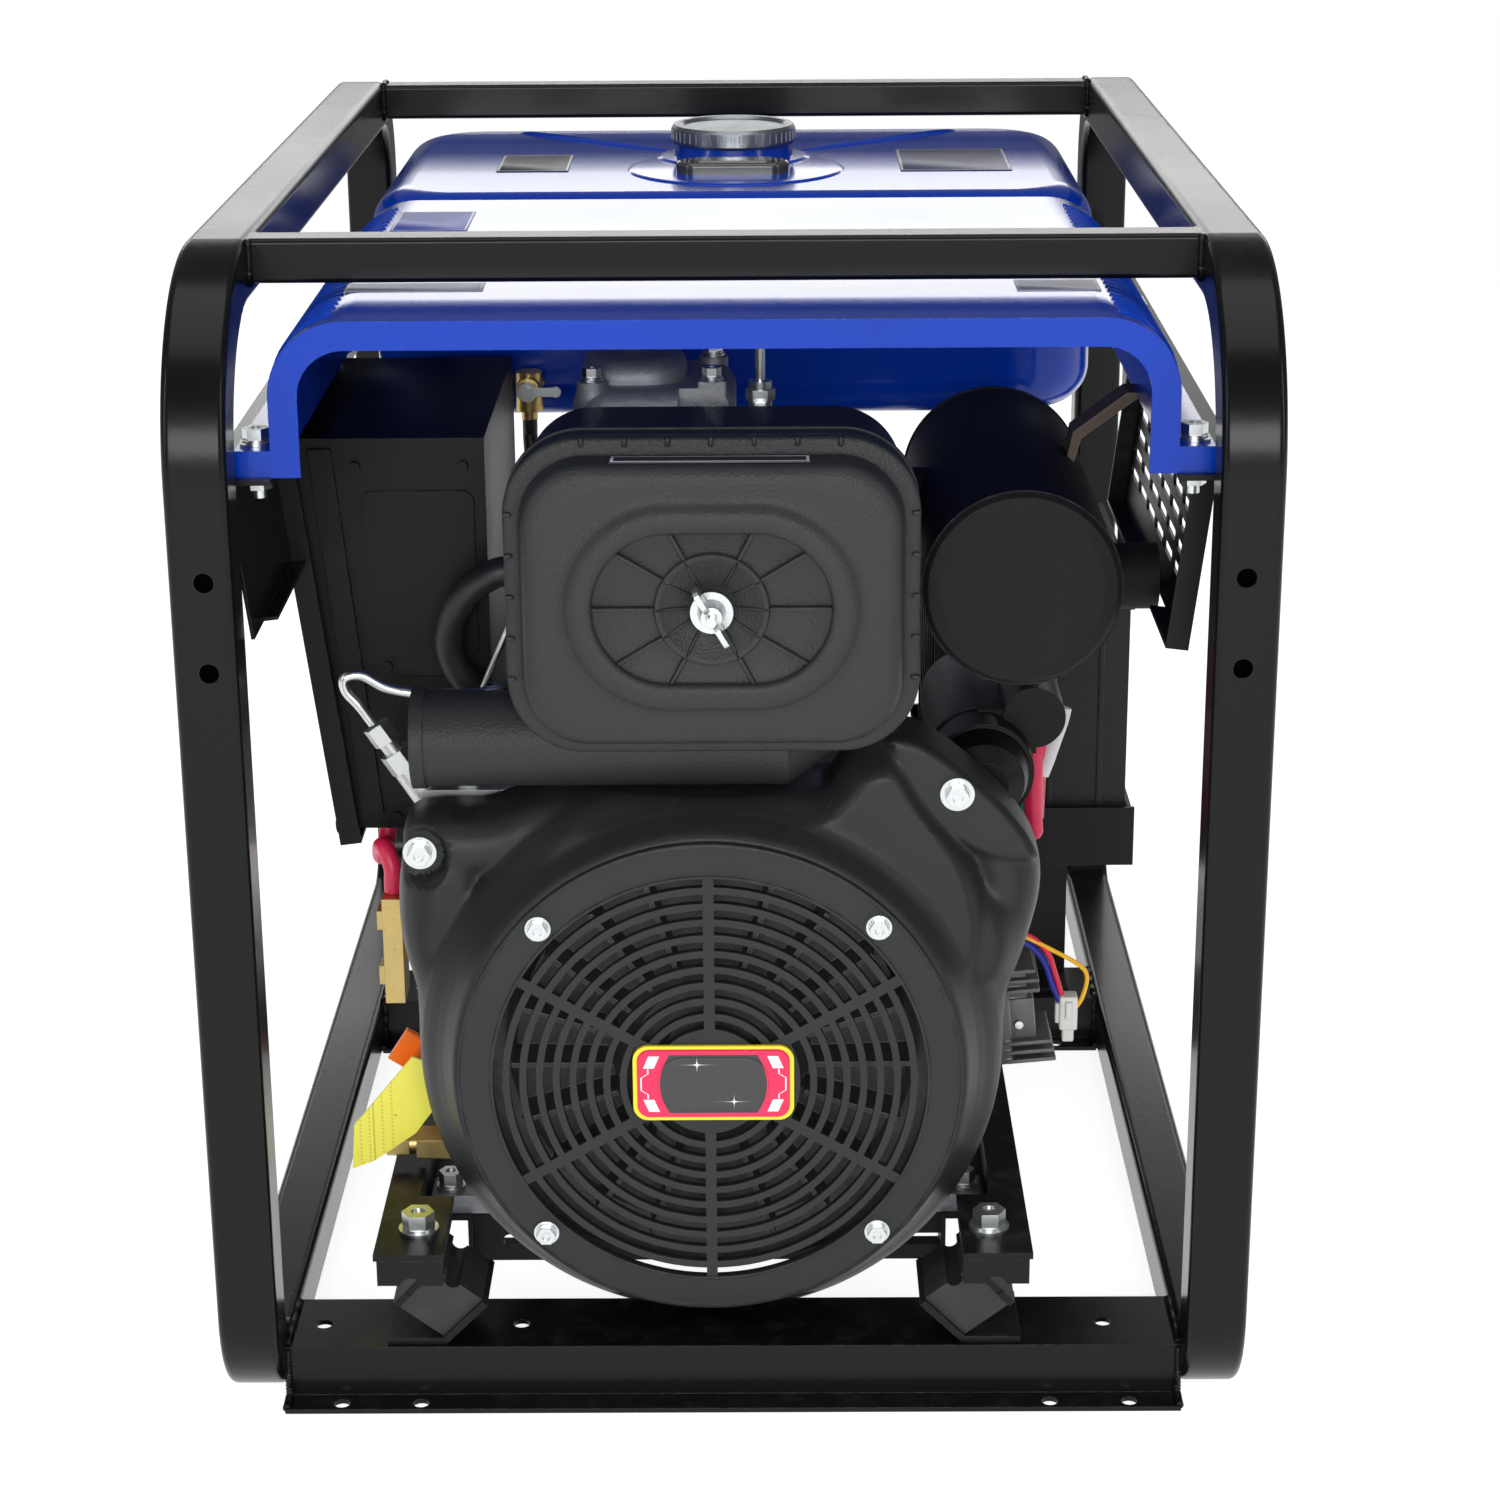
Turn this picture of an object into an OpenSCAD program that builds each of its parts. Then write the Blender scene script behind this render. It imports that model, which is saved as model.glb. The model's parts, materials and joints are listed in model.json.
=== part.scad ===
// Open-frame portable generator: single-cylinder engine and alternator on a sprung subframe
// inside two tube side loops. Lengths in mm, +Z up, front (fan side) towards -Y,
// origin at the middle of the footprint on the floor. Depths below count from the frame's front.

/* [Frame] */
// Overall width over both side loops
frame_w = 600; // [596:1:604]
// Overall length, front to back
frame_l = 860; // [860:1:880]
// Overall height
frame_h = 680; // [680:1:690]
// Square tube of the side loops
tube = 35; // [34:0.5:35]
// Square tube of the two top bars
bar = 25; // [22:1:25]
// Wall of the frame tubes
tube_wall = 2.5; // [2:0.5:3]
// Rounded edge of the loop tube
tube_edge = 5; // [3:0.5:6]
// Outer radius of the upper front bend
bend_top_front = 115; // [105:1:120]
// Outer radius of the upper rear bend
bend_top_rear = 70; // [60:1:75]
// Outer radius of both lower bends
bend_bottom = 65; // [60:1:70]
// Sheet thickness of the cross members
sheet = 3; // [2.5:0.5:3.5]

/* [Top cover] */
// Width over the cover legs
cover_w = 494; // [490:1:496]
// Height of the cover top
cover_top = 648; // [644:1:650]
// Outer radius of the cover shoulders
cover_r = 42; // [36:1:48]
// Width of the folded front lip
cover_lip = 16; // [12:1:18]
// Length of the cover, front to back
cover_l = 400; // [380:1:410]
// Number of pressed ribs on each shoulder
shoulder_ribs = 30; // [10:1:34]

/* [Fan side] */
// Outer radius of the fan grille plate
grille_r = 148; // [146:1:148]
// Outer radius of the slotted field
slot_r = 127; // [124:1:130]
// Number of rings of slots
slot_rings = 10; // [8:1:10]
// Pitch from ring to ring
ring_pitch = 9.8; // [9.6:0.1:9.8]
// Width of one slot
slot_w = 5.6; // [4.5:0.1:6]
// Number of grille spokes
spokes = 6; // [4:1:8]
// Number of fan blades on the flywheel
blades = 20; // [14:1:24]

/* [Air cleaner] */
// Width of the cleaner rim
cleaner_w = 234; // [228:1:234]
// Height of the cleaner rim
cleaner_h = 184; // [180:1:186]
// Number of moulded ribs in the dish
dish_ribs = 12; // [8:2:16]

/* [Exhaust] */
// Radius of the muffler drum
muffler_r = 57; // [54:0.5:57]
// Length of the muffler drum
muffler_l = 282; // [260:1:290]

/* [Alternator] */
// Radius of the stator housing
stator_r = 126; // [120:1:128]
// Radial gap between rotor and stator
air_gap = 1.5; // [1:0.1:2]
// Radial running clearance of every shaft
shaft_play = 0.05; // [0.03:0.01:0.08]

/* [Fuel tank] */
// Width of the tank
tank_w = 488; // [470:1:488]
// Length of the tank
tank_l = 335; // [320:1:335]
// Height of the tank
tank_h = 150; // [140:1:152]
// Rounding of the tank in plan
tank_corner = 60; // [50:1:70]
// Rounding of the tank edges
tank_edge = 26; // [20:1:30]

/* [Control panel] */
// Inward lean of the side panels, degrees
lean = 7; // [6:0.5:8]
// Number of blank socket positions with a hinged lid
sockets = 2; // [2:1:2]

/* [Hidden] */
$fn = 48;
loop_x = frame_w / 2 - tube / 2;
inner_x = frame_w / 2 - tube;
crank_x = -12;
crank_z = 196;
mount_x = -17;
crank_r = 20;
rail_z = 559;
rail_x = frame_w / 2 - 15;
panel_x = 273;
cleaner_x = -8;
cleaner_z = 484;
rim_step = 1.2;
snorkel_y = 112;
snorkel_z = 388;
rail_in = 174;
foot_level = 65;
muffler_x = 168.5;
muffler_z = 479;
muffler_y = 100;
tank_y = 465;
tank_z = frame_h - 185;
tank_top = tank_z + tank_h;
tank_middle = tank_z + tank_h / 2;
cap_y = tank_y + 172;
cock_z = tank_z + 27;
cover_y = 40;
foot_z = 577;
front_beam_y = 11;
mid_beam_y = 530;
mount_pitch = mid_beam_y - front_beam_y;
front_bar_y = 112 + bar / 2;
rear_bar_y = frame_l - 74 + bar / 2;
bolt_rows = [cover_y + 18, cover_y + cover_l - 20];
tank_rows = [tank_y + 50, min(tank_y + tank_l - 45, frame_l - 105)];
stator_end = 640;
meter_row = 245;
breaker_row = 326;
key_row = 396;
post_rows = [344, 378];
stud_row = 412;
panel_fit = 0.3;
socket_rows = [300, 386];
stick_foot = [-144, 168, 128];
stick_tilt = -57;

// Edge of the fan shroud seen from the front: across, up
shroud_edge = [[-192, 318], [-192, 340], [-172, 345], [-146, 343], [-124, 352], [-104, 358],
    [34, 357], [57, 357], [69, 378], [79, 393], [104, 395], [126, 382], [160, 353], [181, 323], [185, 296],
    [178, 264], [163, 222], [158, 190], [153, 150], [141, 110], [118, 74], [84, 44], [40, 26],
    [-12, 20], [-64, 26], [-112, 48], [-148, 80], [-172, 120], [-182, 160], [-184, 200],
    [-188, 230], [-197, 262], [-197, 300]];

// Raised field of the shroud above the fan
shroud_field = [[-150, 250], [-116, 324], [-100, 342], [-84, 349], [52, 349], [66, 364],
    [78, 380], [100, 382], [118, 352], [146, 310], [150, 250], [100, 190], [-110, 190]];

// Routes of the tubes that the set holds at both ends: across, depth, up
injection_route = [[-212, 151, 384], [-219, 150, 395], [-227, 150, 405], [-227, 150, 413],
    [-217, 151, 414], [-202, 151, 406], [-180, 150, 403], [-142, 150, 404], [-129, 160, 408],
    [-127, 178, 416], [-127, 194, 434], [-118, 203, 460], [-98, 205, 498], [-62, 205, 524],
    [-2, 204, 548], [12, 206, 556], [19, 214, 556], [19, 221.7, 556]];
fuel_route = [[-136, 450, 499.7], [-136, 450, 494], [-136, 450, 486], [-134, 440, 462],
    [-128, 400, 416], [-128, 330, 370], [-130, 230, 340], [-136, 204, 326], [-150, 191, 321],
    [-168, 186, 320], [-172, 180, 320], [-172, 176, 320], [-172, 172.3, 320]];
breather_route = [[-118.3, 174, 470], [-126, 174, 470], [-138, 174, 470], [-157, 177, 456],
    [-168, 181, 430], [-162, 184, 404], [-140, 188, 384], [-112, 192, 370], [-92, 194, 356],
    [-88, 194, 344], [-88, 194, 334.3]];
starter_route = [[158, 470, 402.3], [158, 470, 407], [160, 462, 414], [176, 440, 412],
    [206, 400, 380], [212, 350, 320], [206, 300, 290], [200, 262, 286], [194, 244, 304],
    [192, 240, 330], [192, 240, 344], [192, 240, 354.6]];
ground_route = [[232, 470, 402.3], [232, 470, 407], [233, 460, 414], [236, 440, 410],
    [230, 408, 380], [200, 372, 320], [160, 356, 270], [132, 340, 252], [118, 322, 250],
    [110, 320, 250], [103.3, 320, 250]];
solenoid_route = [[-214, 214, 299.7], [-214, 214, 294], [-215, 208, 286], [-216, 194, 284],
    [-214, 178, 296], [-210, 168, 298], [-206, 163, 288], [-206, 163, 279], [-206, 163, 272.3]];
signal_route = [[166, 146, 262], [178, 146, 262], [190, 147, 246], [200, 149, 226],
    [204, 150, 216], [204, 150, 210.3]];

function fy(y) = y - frame_l / 2;
function unit(v) = v / norm(v);
function lead(p) = [for (q = p) [q[0], fy(q[1]), q[2]]];
function towards(p, c, d) = [for (q = p) q + d * unit(c - q)];
function corner_cut(p) = [for (i = [0:len(p) - 1])
    let (a = p[i], b = p[(i + 1) % len(p)])
    each [a * 0.75 + b * 0.25, a * 0.25 + b * 0.75]];
function bezier_like(a, b, c, d, s) = 0.5 * (2 * b + (c - a) * s
    + (2 * a - 5 * b + 4 * c - d) * s * s + (3 * b - a - 3 * c + d) * s * s * s);
function eased(p, n) = concat([for (i = [0:len(p) - 2])
    each [for (k = [0:n - 1])
        bezier_like(p[max(i - 1, 0)], p[i], p[i + 1], p[min(i + 2, len(p) - 1)], k / n)]],
    [p[len(p) - 1]]);
function headings(p, q) = [for (i = [0:len(p) - 1])
    i == 0 ? unit(q[1] - q[0]) : i == len(p) - 1 ? unit(q[len(q) - 1] - q[len(q) - 2])
    : unit(p[i + 1] - p[i - 1])];
function sides(t, i, u) = i >= len(t) ? [] :
    let (v = unit(u - (u * t[i]) * t[i])) concat([v], sides(t, i + 1, v));
function shroud_line(d) = corner_cut(corner_cut(towards(shroud_edge, [crank_x, 220], d)));

// Tube of radius r along a route, n flats around
module hose(route, r, n = 10) {
    p = eased(lead(route), 3);
    t = headings(p, lead(route));
    u = sides(t, 0, [0.31, 0.17, 0.93]);
    m = len(p);
    polyhedron(
        points = [for (i = [0:m - 1]) each [for (k = [0:n - 1])
            p[i] + r * (cos(360 * k / n) * u[i] + sin(360 * k / n) * cross(t[i], u[i]))]],
        faces = concat(
            [[for (k = [0:n - 1]) k]],
            [for (i = [0:m - 2]) each [for (k = [0:n - 1])
                [(i + 1) * n + k, (i + 1) * n + (k + 1) % n, i * n + (k + 1) % n, i * n + k]]],
            [[for (k = [0:n - 1]) m * n - 1 - k]]));
}

// Block between two depths, drawn across and up
module slab(y0, y1) {
    translate([0, fy(y1), 0]) rotate([90, 0, 0]) linear_extrude(y1 - y0) children();
}

// Beam between two widths, drawn depth and up
module beam(x0, x1) {
    translate([x0, fy(0), 0]) rotate([90, 0, 90]) linear_extrude(x1 - x0) children();
}

module box(x0, x1, y0, y1, z0, z1) {
    translate([x0, fy(y0), z0]) cube([x1 - x0, y1 - y0, z1 - z0]);
}

module ycyl(x, z, y0, y1, r) {
    translate([x, fy(y1), z]) rotate([90, 0, 0]) cylinder(r = r, h = y1 - y0);
}

module xcyl(x0, x1, y, z, r) {
    translate([x0, fy(y), z]) rotate([0, 90, 0]) cylinder(r = r, h = x1 - x0);
}

module zcyl(x, y, z0, z1, r) {
    translate([x, fy(y), z0]) cylinder(r = r, h = z1 - z0);
}

// Turned shape about a line running front to back; drawn radius, distance forward
module turned(x, y, z) {
    translate([x, fy(y), z]) rotate([90, 0, 0]) rotate_extrude() children();
}

module round_rect(x0, x1, z0, z1, r) {
    translate([x0 + r, z0]) square([x1 - x0 - 2 * r, z1 - z0]);
    translate([x0, z0 + r]) square([x1 - x0, z1 - z0 - 2 * r]);
    for (x = [x0 + r, x1 - r]) {
        for (z = [z0 + r, z1 - r]) {
            translate([x, z]) circle(r = r);
        }
    }
}

module round_square(a, r) {
    round_rect(-a / 2, a / 2, -a / 2, a / 2, r);
}

module stadium(x0, x1, z0, z1) {
    r = (z1 - z0) / 2;
    translate([x0 + r, z0]) square([x1 - x0 - 2 * r, z1 - z0]);
    for (x = [x0 + r, x1 - r]) {
        translate([x, z0 + r]) circle(r = r);
    }
}

// Upper half profile with its outer top and bottom corners rounded
module half_profile(w, h, rt, rb) {
    square([w - rb, h - rt]);
    translate([0, rb]) square([w - rt, h - rb]);
    translate([0, rb]) square([w, h - rt - rb]);
    translate([w - rt, h - rt]) circle(r = rt);
    translate([w - rb, rb]) circle(r = rb);
}

module full_profile(w, h, rt, rb) {
    half_profile(w / 2, h, rt, rb);
    mirror([1, 0]) half_profile(w / 2, h, rt, rb);
}

// Box with rounded plan corners rp and softer top and bottom edges, centred in plan
module pillow(w, l, h, rp, rt, rb) {
    for (x = [-1, 1]) {
        for (y = [-1, 1]) {
            translate([x * (w / 2 - rp), y * (l / 2 - rp), 0]) rotate_extrude() {
                half_profile(rp, h, rt, rb);
            }
        }
    }
    translate([0, l / 2 - rp, 0]) rotate([90, 0, 0]) linear_extrude(l - 2 * rp) {
        full_profile(w, h, rt, rb);
    }
    translate([rp - w / 2, 0, 0]) rotate([90, 0, 90]) linear_extrude(w - 2 * rp) {
        full_profile(l, h, rt, rb);
    }
}

// Hexagon bolt head with washer, standing up from z = 0
module bolt_head(af, h, wr) {
    cylinder(r = wr, h = 2);
    translate([0, 0, 2]) cylinder(r = af / 2 + 1, h = 1.2);
    translate([0, 0, 3.2]) difference() {
        cylinder(r = af / 2 / cos(30), h = h, $fn = 6);
        translate([0, 0, h - 1.2]) cylinder(r = af / 4, h = 2);
    }
}

module bolt_up(x, y, z, af, h, wr) {
    translate([x, fy(y), z]) bolt_head(af, h, wr);
}

module bolt_front(x, y, z, af, h, wr) {
    translate([x, fy(y), z]) rotate([90, 0, 0]) bolt_head(af, h, wr);
}

module both_sides() {
    children();
    mirror([1, 0, 0]) children();
}

module loop_section() {
    difference() {
        round_square(tube, tube_edge);
        square(tube - 2 * tube_wall, center = true);
    }
}

module loop_bend(y, z, r, start) {
    translate([loop_x, fy(y), z]) rotate([90, 0, 90]) rotate([0, 0, start])
        rotate_extrude(angle = 90) translate([r - tube / 2, 0]) loop_section();
}

module loop_level(y0, y1, z) {
    translate([loop_x, fy(y1), z]) rotate([90, 0, 0]) linear_extrude(y1 - y0) loop_section();
}

module loop_upright(y, z0, z1) {
    translate([loop_x, fy(y), z0]) linear_extrude(z1 - z0) loop_section();
}

module side_loop() {
    difference() {
        union() {
            loop_level(bend_bottom, frame_l - bend_bottom, tube / 2);
            loop_level(bend_top_front, frame_l - bend_top_rear, frame_h - tube / 2);
            loop_upright(tube / 2, bend_bottom, frame_h - bend_top_front);
            loop_upright(frame_l - tube / 2, bend_bottom, frame_h - bend_top_rear);
            loop_bend(bend_bottom, bend_bottom, bend_bottom, 180);
            loop_bend(frame_l - bend_bottom, bend_bottom, bend_bottom, 270);
            loop_bend(bend_top_front, frame_h - bend_top_front, bend_top_front, 90);
            loop_bend(frame_l - bend_top_rear, frame_h - bend_top_rear, bend_top_rear, 0);
        }
        for (z = [463, 514]) {
            ycyl(loop_x - 2, z, -1, tube_wall + 1, 5.5);
        }
        zcyl(loop_x, 300, -1, tube_wall + 1, 5);
        zcyl(loop_x, 640, -1, tube_wall + 1, 5);
    }
}

module side_loop_right() {
    color([0.03, 0.03, 0.03]) side_loop();
}

module side_loop_left() {
    color([0.03, 0.03, 0.03]) mirror([1, 0, 0]) side_loop();
}

module top_bar(y, z) {
    translate([-inner_x, fy(y), z - bar / 2]) rotate([90, 0, 90]) linear_extrude(2 * inner_x) {
        difference() {
            round_square(bar, 3);
            square(bar - 4, center = true);
        }
    }
}

module top_front_bar() {
    color([0.03, 0.03, 0.03]) top_bar(front_bar_y, frame_h);
}

module top_rear_bar() {
    color([0.03, 0.03, 0.03]) top_bar(rear_bar_y, frame_h - 2);
}

// Folded Z-shaped floor beam: front flange low, back flange high
module floor_beam(y0, low_holes, high_holes) {
    difference() {
        beam(-inner_x, inner_x) translate([y0, 0]) {
            square([20, sheet]);
            translate([17, 0]) square([sheet, tube]);
            translate([17, tube - sheet]) square([59, sheet]);
        }
        for (x = low_holes) {
            zcyl(x, y0 + 7, -1, sheet + 1, 4.8);
        }
        for (x = high_holes) {
            zcyl(x, y0 + 45, tube - sheet - 1, tube + 1, 5);
        }
    }
}

module front_crossmember() {
    color([0.03, 0.03, 0.03]) floor_beam(front_beam_y,
        [33 - inner_x, 80 - inner_x, inner_x - 77, inner_x - 30], [-127, 19 - inner_x, inner_x - 43]);
}

module mid_crossmember() {
    color([0.03, 0.03, 0.03]) floor_beam(mid_beam_y,
        [33 - inner_x, inner_x - 30], [25 - inner_x, inner_x - 25]);
}

// Flat rail under the cover and tank feet, right side
module side_rail() {
    difference() {
        box(247, rail_x, tube, frame_l - tube, rail_z, rail_z + sheet);
        for (y = concat(bolt_rows, tank_rows)) {
            zcyl(257, y, rail_z - 1, rail_z + sheet + 1, 4.5);
        }
    }
}

module leaning(side) {
    translate([side * panel_x, 0, rail_z]) rotate([0, side * lean, 0]) children();
}

module side_rail_left() {
    color([0.03, 0.03, 0.03]) {
        mirror([1, 0, 0]) side_rail();
        leaning(-1) {
            translate([0, fy(tube), -88]) cube([2, 153, 88]);
            translate([0, fy(70), -88]) cube([10, 118, 2]);
            translate([0, fy(440), -40]) cube([2, frame_l - tube - 440, 40]);
        }
    }
}

module guard_slot(y, z) {
    translate([-5, fy(y), z - 3.2]) cube([10, 34, 6.4]);
    for (e = [0, 34]) {
        translate([-5, fy(y) + e, z]) rotate([0, 90, 0]) cylinder(r = 3.2, h = 10);
    }
}

module muffler_guard() {
    color([0.03, 0.03, 0.03]) difference() {
        union() {
            side_rail();
            leaning(1) {
                translate([-2, fy(70), -108]) cube([2, 330, 108]);
                translate([-13, fy(70), -108]) cube([13, 2, 106]);
                translate([-13, fy(398), -108]) cube([13, 2, 106]);
                translate([-13, fy(70), -108]) cube([13, 330, 2]);
            }
        }
        leaning(1) {
            for (row = [0:5]) {
                for (col = [0:6]) {
                    guard_slot(82 + col * 45, -16 - row * 13);
                }
            }
            translate([-14, fy(150), -109]) cube([11, 44, 4]);
        }
    }
}

module battery_tray() {
    color([0.03, 0.03, 0.03]) {
        difference() {
            union() {
                box(130, 274, 418, 652, 206, 209);
                box(130, 274, 418, 421, 190, 232);
                box(130, 274, 649, 652, 206, 232);
                box(130, 133, 421, 649, 206, 226);
                box(271, 274, 421, 649, 206, 226);
            }
            for (x = [170, 230]) {
                zcyl(x, 535, 205, 210, 12);
            }
        }
        box(196, 246, 596, 599, tube, 206);
        box(196, 246, 560, 599, tube, tube + 3);
        box(196, 246, 560, 599, 203, 206);
        box(271, 274, 520, 550, 226, rail_z);
    }
}

// Cover seen from the front: outer line and the line one lip width inside it
module cover_half(inset) {
    x = cover_w / 2 - inset;
    z = cover_top - inset;
    r = cover_r - inset;
    translate([0, 0]) square([x, z - r]);
    square([x - r, z]);
    translate([x - r, z - r]) circle(r = r);
}

module cover_section(thick) {
    difference() {
        union() {
            intersection() {
                cover_half(0);
                translate([0, rail_z + sheet]) square([400, 400]);
            }
            translate([0, rail_z + sheet]) square([267, foot_z - rail_z - sheet]);
        }
        cover_half(thick);
        if (thick < 5) {
            translate([cover_w / 2 - 1, rail_z]) square([60, foot_z - thick - rail_z]);
        }
    }
}

module top_cover() {
    color([0.01, 0.1, 0.6]) {
        both_sides() {
            difference() {
                union() {
                    slab(cover_y, cover_y + cover_l) cover_section(2);
                    slab(cover_y, cover_y + 2) cover_section(cover_lip);
                    slab(cover_y + cover_l - 2, cover_y + cover_l) cover_section(cover_lip);
                }
                for (y = bolt_rows) {
                    zcyl(257, y, foot_z - 3, foot_z + 1, 4.5);
                }
            }
            for (i = [0:shoulder_ribs - 1]) {
                translate([cover_w / 2 - cover_r, fy(cover_y + 22 + i * 12), cover_top - cover_r])
                    rotate([90, 0, 0]) rotate_extrude(angle = 78) {
                        translate([cover_r - 0.6, 0]) circle(r = 2, $fn = 16);
                    }
            }
        }
    }
}

module frame_bolts() {
    color([0.6, 0.6, 0.58]) {
        both_sides() {
            for (y = bolt_rows) {
                bolt_up(257, y, foot_z, 13, 6, 9);
                zcyl(257, y, rail_z - 12, foot_z, 4);
                translate([257, fy(y), rail_z - 7]) cylinder(r = 7.5, h = 7, $fn = 6);
            }
            for (y = tank_rows) {
                bolt_up(257, y, rail_z + 2 * sheet, 13, 6, 9);
                zcyl(257, y, rail_z - 12, rail_z + 2 * sheet, 4);
                translate([257, fy(y), rail_z - 7]) cylinder(r = 7.5, h = 7, $fn = 6);
            }
        }
        for (side = [-1, 1]) {
            for (y = [60, 60 + mount_pitch]) {
                bolt_up(mount_x + side * 170, y, 96, 17, 9, 12);
                zcyl(mount_x + side * 170, y, 84, 96, 4.5);
            }
        }
    }
}

module at_mounts() {
    for (y = [0, mount_pitch]) {
        for (side = [0, 1]) {
            translate([mount_x, y, 0]) mirror([side, 0, 0]) children();
        }
    }
}

module mount_brackets() {
    color([0.04, 0.04, 0.04]) at_mounts() difference() {
        union() {
            slab(31, 87) polygon([[188, 35], [188, 39], [155, 39], [131, 63], [128, 60], [153, 35]]);
            slab(31, 87) polygon([[184, 62], [181, 59], [170, 70], [157, 83], [153, 88], [153, 92],
                [192, 92], [192, 88], [158.5, 88]]);
            box(153, 192, 27, 31, 76, 92);
            box(188.5, 192, 31, 87, 78, 88);
        }
        zcyl(170, 60, 84, 94, 5);
        slab(26, 32) translate([172, 74]) circle(r = 7);
    }
}

module mount_rubbers() {
    color([0.05, 0.05, 0.05]) at_mounts() {
        slab(34, 84) difference() {
            polygon([[155, 39], [131, 63], [157, 83], [181, 59]]);
            translate([148, 76]) circle(r = 5);
            translate([173, 46]) circle(r = 5);
        }
    }
}

module engine_subframe() {
    color([0.04, 0.04, 0.04]) difference() {
        union() {
            for (side = [0, 1]) {
                translate([mount_x, 0, 0]) mirror([side, 0, 0]) {
                    box(153, 194, 27, 104, 92, 96);
                    box(153, 194, 27 + mount_pitch, 104 + mount_pitch, 92, 96);
                    box(rail_in, 194, 104, 27 + mount_pitch, 92, 96);
                    box(rail_in, rail_in + 3, 104, 27 + mount_pitch, foot_level - 3, 92);
                    box(146, rail_in, 138, 27 + mount_pitch, foot_level - 3, foot_level);
                }
            }
            box(mount_x - 146, mount_x + 146, 150, 153, 28, foot_level - 3);
            box(mount_x - 146, mount_x + 146, 153, 175, 28, 31);
            box(mount_x - 146, mount_x + 146, 500, 503, 34, 54);
            box(mount_x - 146, mount_x + 146, 480, 503, 51, 54);
            for (side = [0, 1]) {
                translate([mount_x, 0, 0]) mirror([side, 0, 0]) {
                    box(146, 149, 140, 175, 28, foot_level - 3);
                    box(146, 149, 480, 503, 34, foot_level - 3);
                }
            }
        }
        slab(149, 154) {
            stadium(-145, -103, 38, 46);
            stadium(70, 142, 38, 46);
        }
        for (side = [-1, 1]) {
            for (y = [60, 60 + mount_pitch]) {
                zcyl(mount_x + side * 170, y, 91, 97, 5);
            }
        }
    }
}

module crankcase() {
    color([0.35, 0.35, 0.36]) difference() {
        union() {
            slab(134, 142) polygon(shroud_line(14));
            slab(142, 330) polygon([[-125, 124], [-98, 86], [76, 86], [103, 124], [103, 300],
                [80, 334], [-100, 334], [-125, 300]]);
            slab(160, 300) round_rect(-148, -110, 130, 300, 18);
            slab(178, 282) round_rect(-156, -110, 152, 278, 24);
            turned(crank_x, 342, crank_z) polygon([[0, 0], [128, 0], [128, 8], [112, 16], [0, 16]]);
            for (y = [142, 300]) {
                slab(y, y + 26) polygon([[-188, foot_level], [-188, 77], [-152, 77], [-125, 128],
                    [-98, 88], [-116, foot_level]]);
                slab(y, y + 26) polygon([[154, foot_level], [154, 77], [122, 77], [103, 128],
                    [76, 88], [90, foot_level]]);
            }
            for (z = [150, 186, 222, 258]) {
                box(103, 108, 150, 322, z, z + 5);
            }
            box(-104, 84, 220, 328, 330, 342);
        }
        ycyl(crank_x, crank_z, 130, 345, crank_r + shaft_play);
    }
}

module cylinder_block() {
    color([0.3, 0.3, 0.31]) {
        zcyl(-35, 272, 342, 455, 56);
        for (i = [0:9]) {
            translate([0, 0, 350 + i * 10.5]) linear_extrude(3.5) {
                translate([0, fy(0)]) round_rect(-104, 44, 216, 330, 24);
            }
        }
    }
}

module cylinder_head() {
    color([0.5, 0.5, 0.5]) difference() {
        union() {
            translate([0, 0, 455]) linear_extrude(16) {
                translate([0, fy(0)]) round_rect(-108, 50, 214, 334, 20);
            }
            translate([0, 0, 471]) linear_extrude(57) {
                translate([0, fy(0)]) round_rect(-98, 40, 220, 328, 18);
            }
            for (i = [0:4]) {
                translate([0, 0, 477 + i * 10.5]) linear_extrude(3.5) {
                    translate([0, fy(0)]) round_rect(-106, 48, 216, 332, 22);
                }
            }
            zcyl(19, 236, 520, 549, 11);
            xcyl(30, 54, 260, 492.5, 26);
            ycyl(-60, 486.5, 206, 240, 29);
        }
        xcyl(20, 60, 260, 492.5, 17);
        ycyl(-60, 486.5, 200, 250, 19);
    }
}

module rocker_cover() {
    color([0.62, 0.63, 0.64]) difference() {
        union() {
            translate([-45, fy(272), 528]) pillow(102, 112, 12, 26, 3, 3);
            translate([-45, fy(272), 534]) pillow(98, 102, 34, 24, 12, 3);
            translate([-58, fy(278), 548]) pillow(64, 74, 34, 25, 12, 3);
            zcyl(-82, 236, 534, 572, 9);
            zcyl(-10, 236, 534, 572, 9);
            zcyl(-10, 308, 534, 572, 9);
            zcyl(-58, 300, 575, 590, 11);
            xcyl(-97, -58, 300, 584, 5);
        }
        xcyl(-98, -58, 300, 584, 3);
        box(-30, 2, 216, 232, 556, 580);
    }
}

module injector() {
    color([0.66, 0.66, 0.64]) {
        zcyl(19, 236, 549, 572, 7);
        zcyl(19, 236, 572, 596, 3);
        translate([19, fy(236), 560]) cylinder(r = 9, h = 7, $fn = 6);
        translate([19, fy(230), 556]) rotate([90, 0, 0]) cylinder(r = 5, h = 8);
        for (x = [-82, -10]) {
            bolt_up(x, 236, 572, 10, 5, 7);
        }
        bolt_up(-10, 308, 572, 10, 5, 7);
    }
}

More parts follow.
